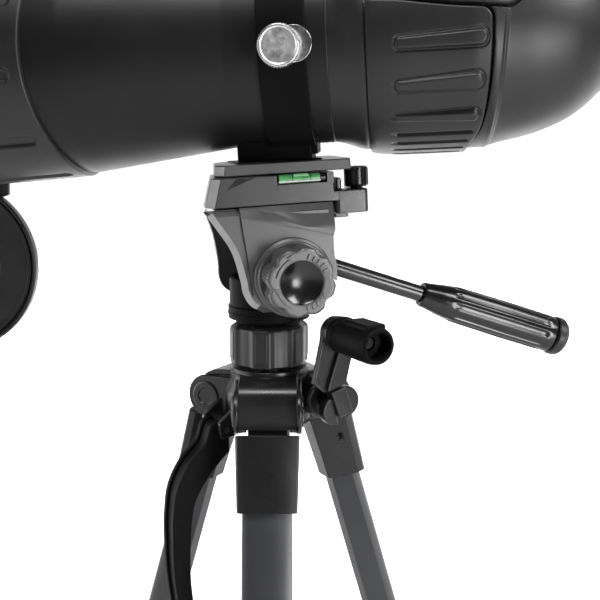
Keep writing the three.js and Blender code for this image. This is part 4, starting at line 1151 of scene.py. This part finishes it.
def section(grow):
    """Cross section of a leg: a gently bowed front, soft shoulders and a narrower back."""
    w, d = LEG_W / 2 + grow, LEG_D / 2 + grow
    k = LEG_INNER / 2 + grow * 0.5
    bow = [(x * w, -d + 1.9 * x * x) for x in np.linspace(-0.94, 0.94, 15)]
    return bow + fillet([(w, -d + 3.0, 0.8), (w - 0.4, -d + 6.4, 1.4), (k, d, 1.0), (-k, d, 1.0),
                         (-w + 0.4, -d + 6.4, 1.4), (-w, -d + 3.0, 0.8)], 1, 5)


def sleeve(*levels):
    """Skin of leg section through (height, growth) pairs."""
    return loft([section(grow) for z, grow in levels], [z for z, grow in levels])


def leg(side):
    fold, extend = side + "_leg_fold", side + "_leg_extend"
    f = Frame(pos_of(fold), axes(x=axis_of(fold), z=-axis_of(extend)))
    n = side + "_leg_"
    leg_socket(f, n, side)
    part = Part().add(f, sleeve((LEG_LOW + 0.1, -0.4), (LEG_LOW + 0.6, 0), (LEG_TOP - 0.6, 0),
                                (LEG_TOP - 0.1, -0.4)))
    part.make(n + "tube", TUBE, side + "_leg", [n + "upper"], "tube", sharp=35)
    leg_clamp(f, n, side)
    part = Part().add(f, sleeve((6 - LEG_REACH, -1.8), (LOWER_TOP - LEG_REACH, -1.8)))
    part.make(n + "lower_tube", INNER, side + "_extension", [n + "lower"], "inner_tube", sharp=35)
    dress_foot(f, n, side)


def leg_socket(f, n, side):
    """Bracket at the top of a leg, with its pivot barrel, neck and two screws."""
    part = Part()
    part.add(f, sleeve((-51.4, 2.0), (-51.0, 2.6), (-13.6, 3.7), (-12.9, 3.2)))
    part.add(f.along_x(), pin(3.4, -10.2, 10.2, 48, 0.6))
    part.add(f, slab(rect(20.4, 3.4, 1, 0, 0.6), -14, 0, 0.4))
    for s in (1, -1):
        g = f.shift(s * 13.1, -0.6, -28).turn("Z", 90 - s * 62)
        g = g.front() if s > 0 else g.back()
        screw = fillet([(0, -1.4), (2.8, -1.4), (2.8, 0.7), (1.3, 0.9), (1.3, 0.3), (0, 0.3)], 0.2, 2)
        part.add(g, lathe(screw, 32))
    part.make(n + "socket", MOULDING, side + "_leg", [n + "bracket"], "head_moulding", sharp=35)


def leg_clamp(f, n, side):
    """Clamp sleeve with its two cheeks, and the flip lever hinged between them."""
    part = Part()
    part.add(f, sleeve((LEG_LOW - 11.8, 1.6), (LEG_LOW - 11.2, 2.2), (LEG_LOW + 2, 2.8),
                       (LEG_LOW + 23.4, 2.6), (LEG_LOW + 24, 2.0)))
    for a, b in ((-7.0, -4.4), (4.4, 7.0)):
        cheek = fillet([(-LEG_D / 2, -6), (-15.5, -5), (-17, 0), (-15.5, 5.6), (-LEG_D / 2, 9)], 2, 4, True)
        part.add(f.shift(0, 0, LEG_LOW + 2).turn("Z", 90).front(), slab(cheek, a, b, 0.5, 2))
    part.make(n + "clamp_sleeve", MOULDING, side + "_leg", [n + "clamp"], "moulding", sharp=35)
    part = Part()
    flap = fillet([(-3.9, 3), (3.9, 3), (8.5, 10), (8.5, 36, 3), (-8.5, 36, 3), (-8.5, 10)], 1.5, 4, True)
    part.add(f.shift(0, 0, LEG_LOW + 2).front(), slab(flap, 13.1, 15.9, 0.8, 3))
    part.add(f.shift(0, -14, LEG_LOW + 2).along_x(), pin(2.6, -3.9, 3.9, 32, 0.5))
    for k in range(4):
        part.add(f.shift(0, 0, LEG_LOW + 22 + 4 * k).front(), slab(rect(12, 1.4, 0.6), 15.6, 16.4, 0.3, 2))
    part.make(n + "flip_lever", RUBBER, side + "_clamp_lever", [n + "lever"], "grip", sharp=35)


def dress_foot(f, n, side):
    """The foot keeps its CAD solid; ribs round its shoe are added."""
    part = Part()
    for k in range(3):
        g = f.shift(0, 0, -LEG_REACH + 9.5 + 3.2 * k)
        part.add(g, sleeve((0, 1.2), (0.5, 1.6), (1.3, 1.6), (1.8, 1.2)))
    part.make(n + "foot_ribs", RUBBER, side + "_extension", [], "grip", sharp=35)


def carry_handle():
    part = Part()
    f = CARRY.shift(-31, 0, 64).front()
    outer = curve([(27.5, -70), (31.5, -60.6), (37.6, -61.6), (41.6, -71.6), (50.4, -80.4), (57.4, -93),
                   (59.8, -107), (60.3, -120), (59.4, -145), (54.2, -174), (42, -200)], 7)
    inner = curve([(34.5, -197), (46.4, -171), (50.4, -148), (50.6, -128), (49.2, -110), (46, -98.6),
                   (37.4, -86.6), (27.6, -77)], 7)
    full = outer + inner
    mid = inset(full if area2(full) > 0 else full[::-1], 1.3)
    part.add(f, slab(full, 3.6, 7.0, 0.7, 3))
    part.add(f, slab(full, -7.0, -3.6, 0.7, 3))
    part.add(f, slab(mid, -4.2, 4.2, 0.3, 2))
    part.make("carry_bow", CASE, "carry", ["carry_handle"], "moulding", sharp=40)


# ---------------------------------------------------------------- lens cap
def lens_cap():
    f = CAP.shift(0, 0, -89.8).front()
    part = Part()
    prof = fillet([(0, 2.2), (51.8, 2.2, 2), (53.4, 4, 1.4), (53.4, 10.6, 1.2), (51.6, 11, 0.8),
                   (51.2, 5.4, 0.6), (49.4, 4.9, 0.4), (49.2, 6.2, 0.4), (47.2, 6.2, 0.4), (47.0, 4.7, 0.4),
                   (30, 4.6), (29.6, 5.0), (28.6, 5.0), (28.2, 4.6), (0, 4.6)], 0.5, 4)
    part.add(f, lathe(prof, 200))
    part.add(f, slab(fillet([(-8, 50), (8, 50), (8, 64.5, 4), (-8, 64.5, 4)], 1, 5, True), 2.2, 5.4, 0.5, 3))
    tab = fillet([(8, 44), (24, 38), (37.6, 42.5), (38, 51.5, 2.2), (34, 52.8, 3), (10, 54)], 1.0, 5, True)
    part.add(f, slab(tab, 2.4, 5.8, 0.6, 3))
    part.make("cap_dish", RUBBER, "cap", ["lens_cap"], "grip", sharp=40)
    part = Part()
    strap = fillet([(-4.4, -36), (4.4, -36), (4.4, 4.4), (-4.4, 4.4)], 4.2, 8, True)
    part.add(CAP.front(), slab(strap, -0.4, 1.4, 0.4, 3))
    stud = fillet([(0, 1), (2, 1), (2, 5.6), (3.2, 5.8), (3, 7.0), (0, 7.2)], 0.3)
    part.add(CAP.shift(0, 0, -31).front(), lathe(stud, 32))
    part.make("cap_tether", RUBBER, "cap", ["cap_strap"], "grip")


tilt_body()
platform()
vial()
release()
plate()
tilt_knob()
pan_handle()
pan_base()
column()
hub()
crank()
for side in ("front", "right", "left"):
    leg(side)
carry_handle()
lens_cap()


# ---------------------------------------------------------------- CAD nodes that stay visible
def dress(name, mat):
    """Material and softened edges for a CAD node that no visual piece has replaced."""
    o = frame["nodes"][name]
    if o.hide_render:
        return
    o.data.materials.clear()
    o.data.materials.append(mat)
    weld = o.modifiers.new("weld", "WELD")
    weld.merge_threshold = 0.01 * MM
    b = o.modifiers.new("edges", "BEVEL")
    b.width = 0.35 * MM
    b.segments = 2
    b.limit_method = "ANGLE"
    b.angle_limit = math.radians(34)
    o.modifiers.new("normals", "WEIGHTED_NORMAL")


SLOT_FINISH = {"armour": ARMOUR, "barrel": BARREL, "moulding": MOULDING, "head_moulding": HEAD,
               "grip": RUBBER, "tube": TUBE, "inner_tube": INNER, "rod": ROD, "steel": PLATED,
               "lens": LENS, "vial": VIAL}
for row in frame["record"]["subparts"]:
    dress(row["node"], SLOT_FINISH[row["material_slot"]])


# ---------------------------------------------------------------- studio
FLOOR_HALF = 3.6
FRONT_GREY, BACK_WHITE = 0.06, 1.08  # world strength in front of the object and behind it


def area_light(name, at, to, size, power, shape=1.0, spread=180):
    """Soft light that the camera doesn't see; shape is its height over its width."""
    data = bpy.data.lights.new(name, "AREA")
    data.shape = "RECTANGLE"
    data.size = size
    data.size_y = size * shape
    data.energy = power
    data.spread = math.radians(spread)
    o = bpy.data.objects.new(name, data)
    o.location = at
    o.rotation_euler = (Vector(to) - Vector(at)).to_track_quat("-Z", "Y").to_euler()
    o.visible_camera = False
    bpy.context.scene.collection.objects.link(o)


def ramp(nt, value, source, target):
    """Smooth map of a value from one range to another."""
    n = nt.nodes.new("ShaderNodeMapRange")
    n.interpolation_type = "SMOOTHSTEP"
    n.inputs["From Min"].default_value, n.inputs["From Max"].default_value = source
    n.inputs["To Min"].default_value, n.inputs["To Max"].default_value = target
    link(nt, value, n.inputs["Value"])
    return n.outputs["Result"]


def floor():
    low = cad_low[2]
    mat = finish_of("pale_floor", (0.93, 0.93, 0.93), 0.9, spec=0.0, grain=4, grain_depth=0.01, mottle=300,
                    mottle_gain=0.004)
    mesh = bpy.data.meshes.new("floor")
    w = FLOOR_HALF
    mesh.from_pydata([(-w, -w, low), (w, -w, low), (w, w, low), (-w, w, low)], [], [(0, 1, 2, 3)])
    mesh.materials.append(mat)
    o = bpy.data.objects.new("floor", mesh)
    bpy.context.scene.collection.objects.link(o)


def world():
    """White low behind the object, so that the backdrop is blank, and dim elsewhere."""
    studio = bpy.data.worlds.new("studio")
    bpy.context.scene.world = studio
    studio.use_nodes = True
    nt = studio.node_tree
    back = nt.nodes["Background"]
    co = nt.nodes.new("ShaderNodeTexCoord")
    sep = nt.nodes.new("ShaderNodeSeparateXYZ")
    link(nt, co.outputs["Generated"], sep.inputs["Vector"])
    behind = ramp(nt, sep.outputs["Y"], (-0.1, 0.4), (0.0, 1.0))
    low_band = ramp(nt, sep.outputs["Z"], (0.25, 0.6), (1.0, 0.12))
    both = nt.nodes.new("ShaderNodeMath")
    both.operation = "MULTIPLY"
    link(nt, behind, both.inputs[0])
    link(nt, low_band, both.inputs[1])
    link(nt, ramp(nt, both.outputs[0], (0.0, 1.0), (FRONT_GREY, BACK_WHITE)), back.inputs["Strength"])
    back.inputs["Color"].default_value = (1, 1, 1, 1)


def lights():
    head = Vector(STAND.world((0, 0, 60)))
    area_light("floor_light", (0, 2.75, 2.2), (0, 2.76, 0), 7.4, 240, 0.6, 24)
    area_light("key_right", head + Vector((0.80, -1.02, -0.2)), head, 0.42, 8.5, 1.0)
    area_light("fill_left", head + Vector((-1.3, -0.05, 0.05)), head, 1.3, 8, 0.62)
    area_light("top_front", head + Vector((-0.1, -0.8, 1.5)), head, 0.8, 17, 0.6)
    area_light("top_right", head + Vector((0.98, -0.48, 0.84)), head, 0.55, 14, 1.0)


CAMERA_AT = (16.4, -522, 92)  # from the pan joint, in mm
CAMERA_PITCH, LENS_MM, SENSOR_MM = 80, 60, 36
floor()
world()
lights()

scene = bpy.context.scene
cam_data = bpy.data.cameras.new("camera")
cam_data.lens = LENS_MM
cam_data.sensor_width = SENSOR_MM
cam = bpy.data.objects.new("camera", cam_data)
scene.collection.objects.link(cam)
cam.location = Vector(STAND.world(CAMERA_AT))
cam.rotation_euler = (math.radians(CAMERA_PITCH), 0, 0)
scene.camera = cam
scene.view_settings.view_transform = "Standard"
scene.view_settings.look = "None"
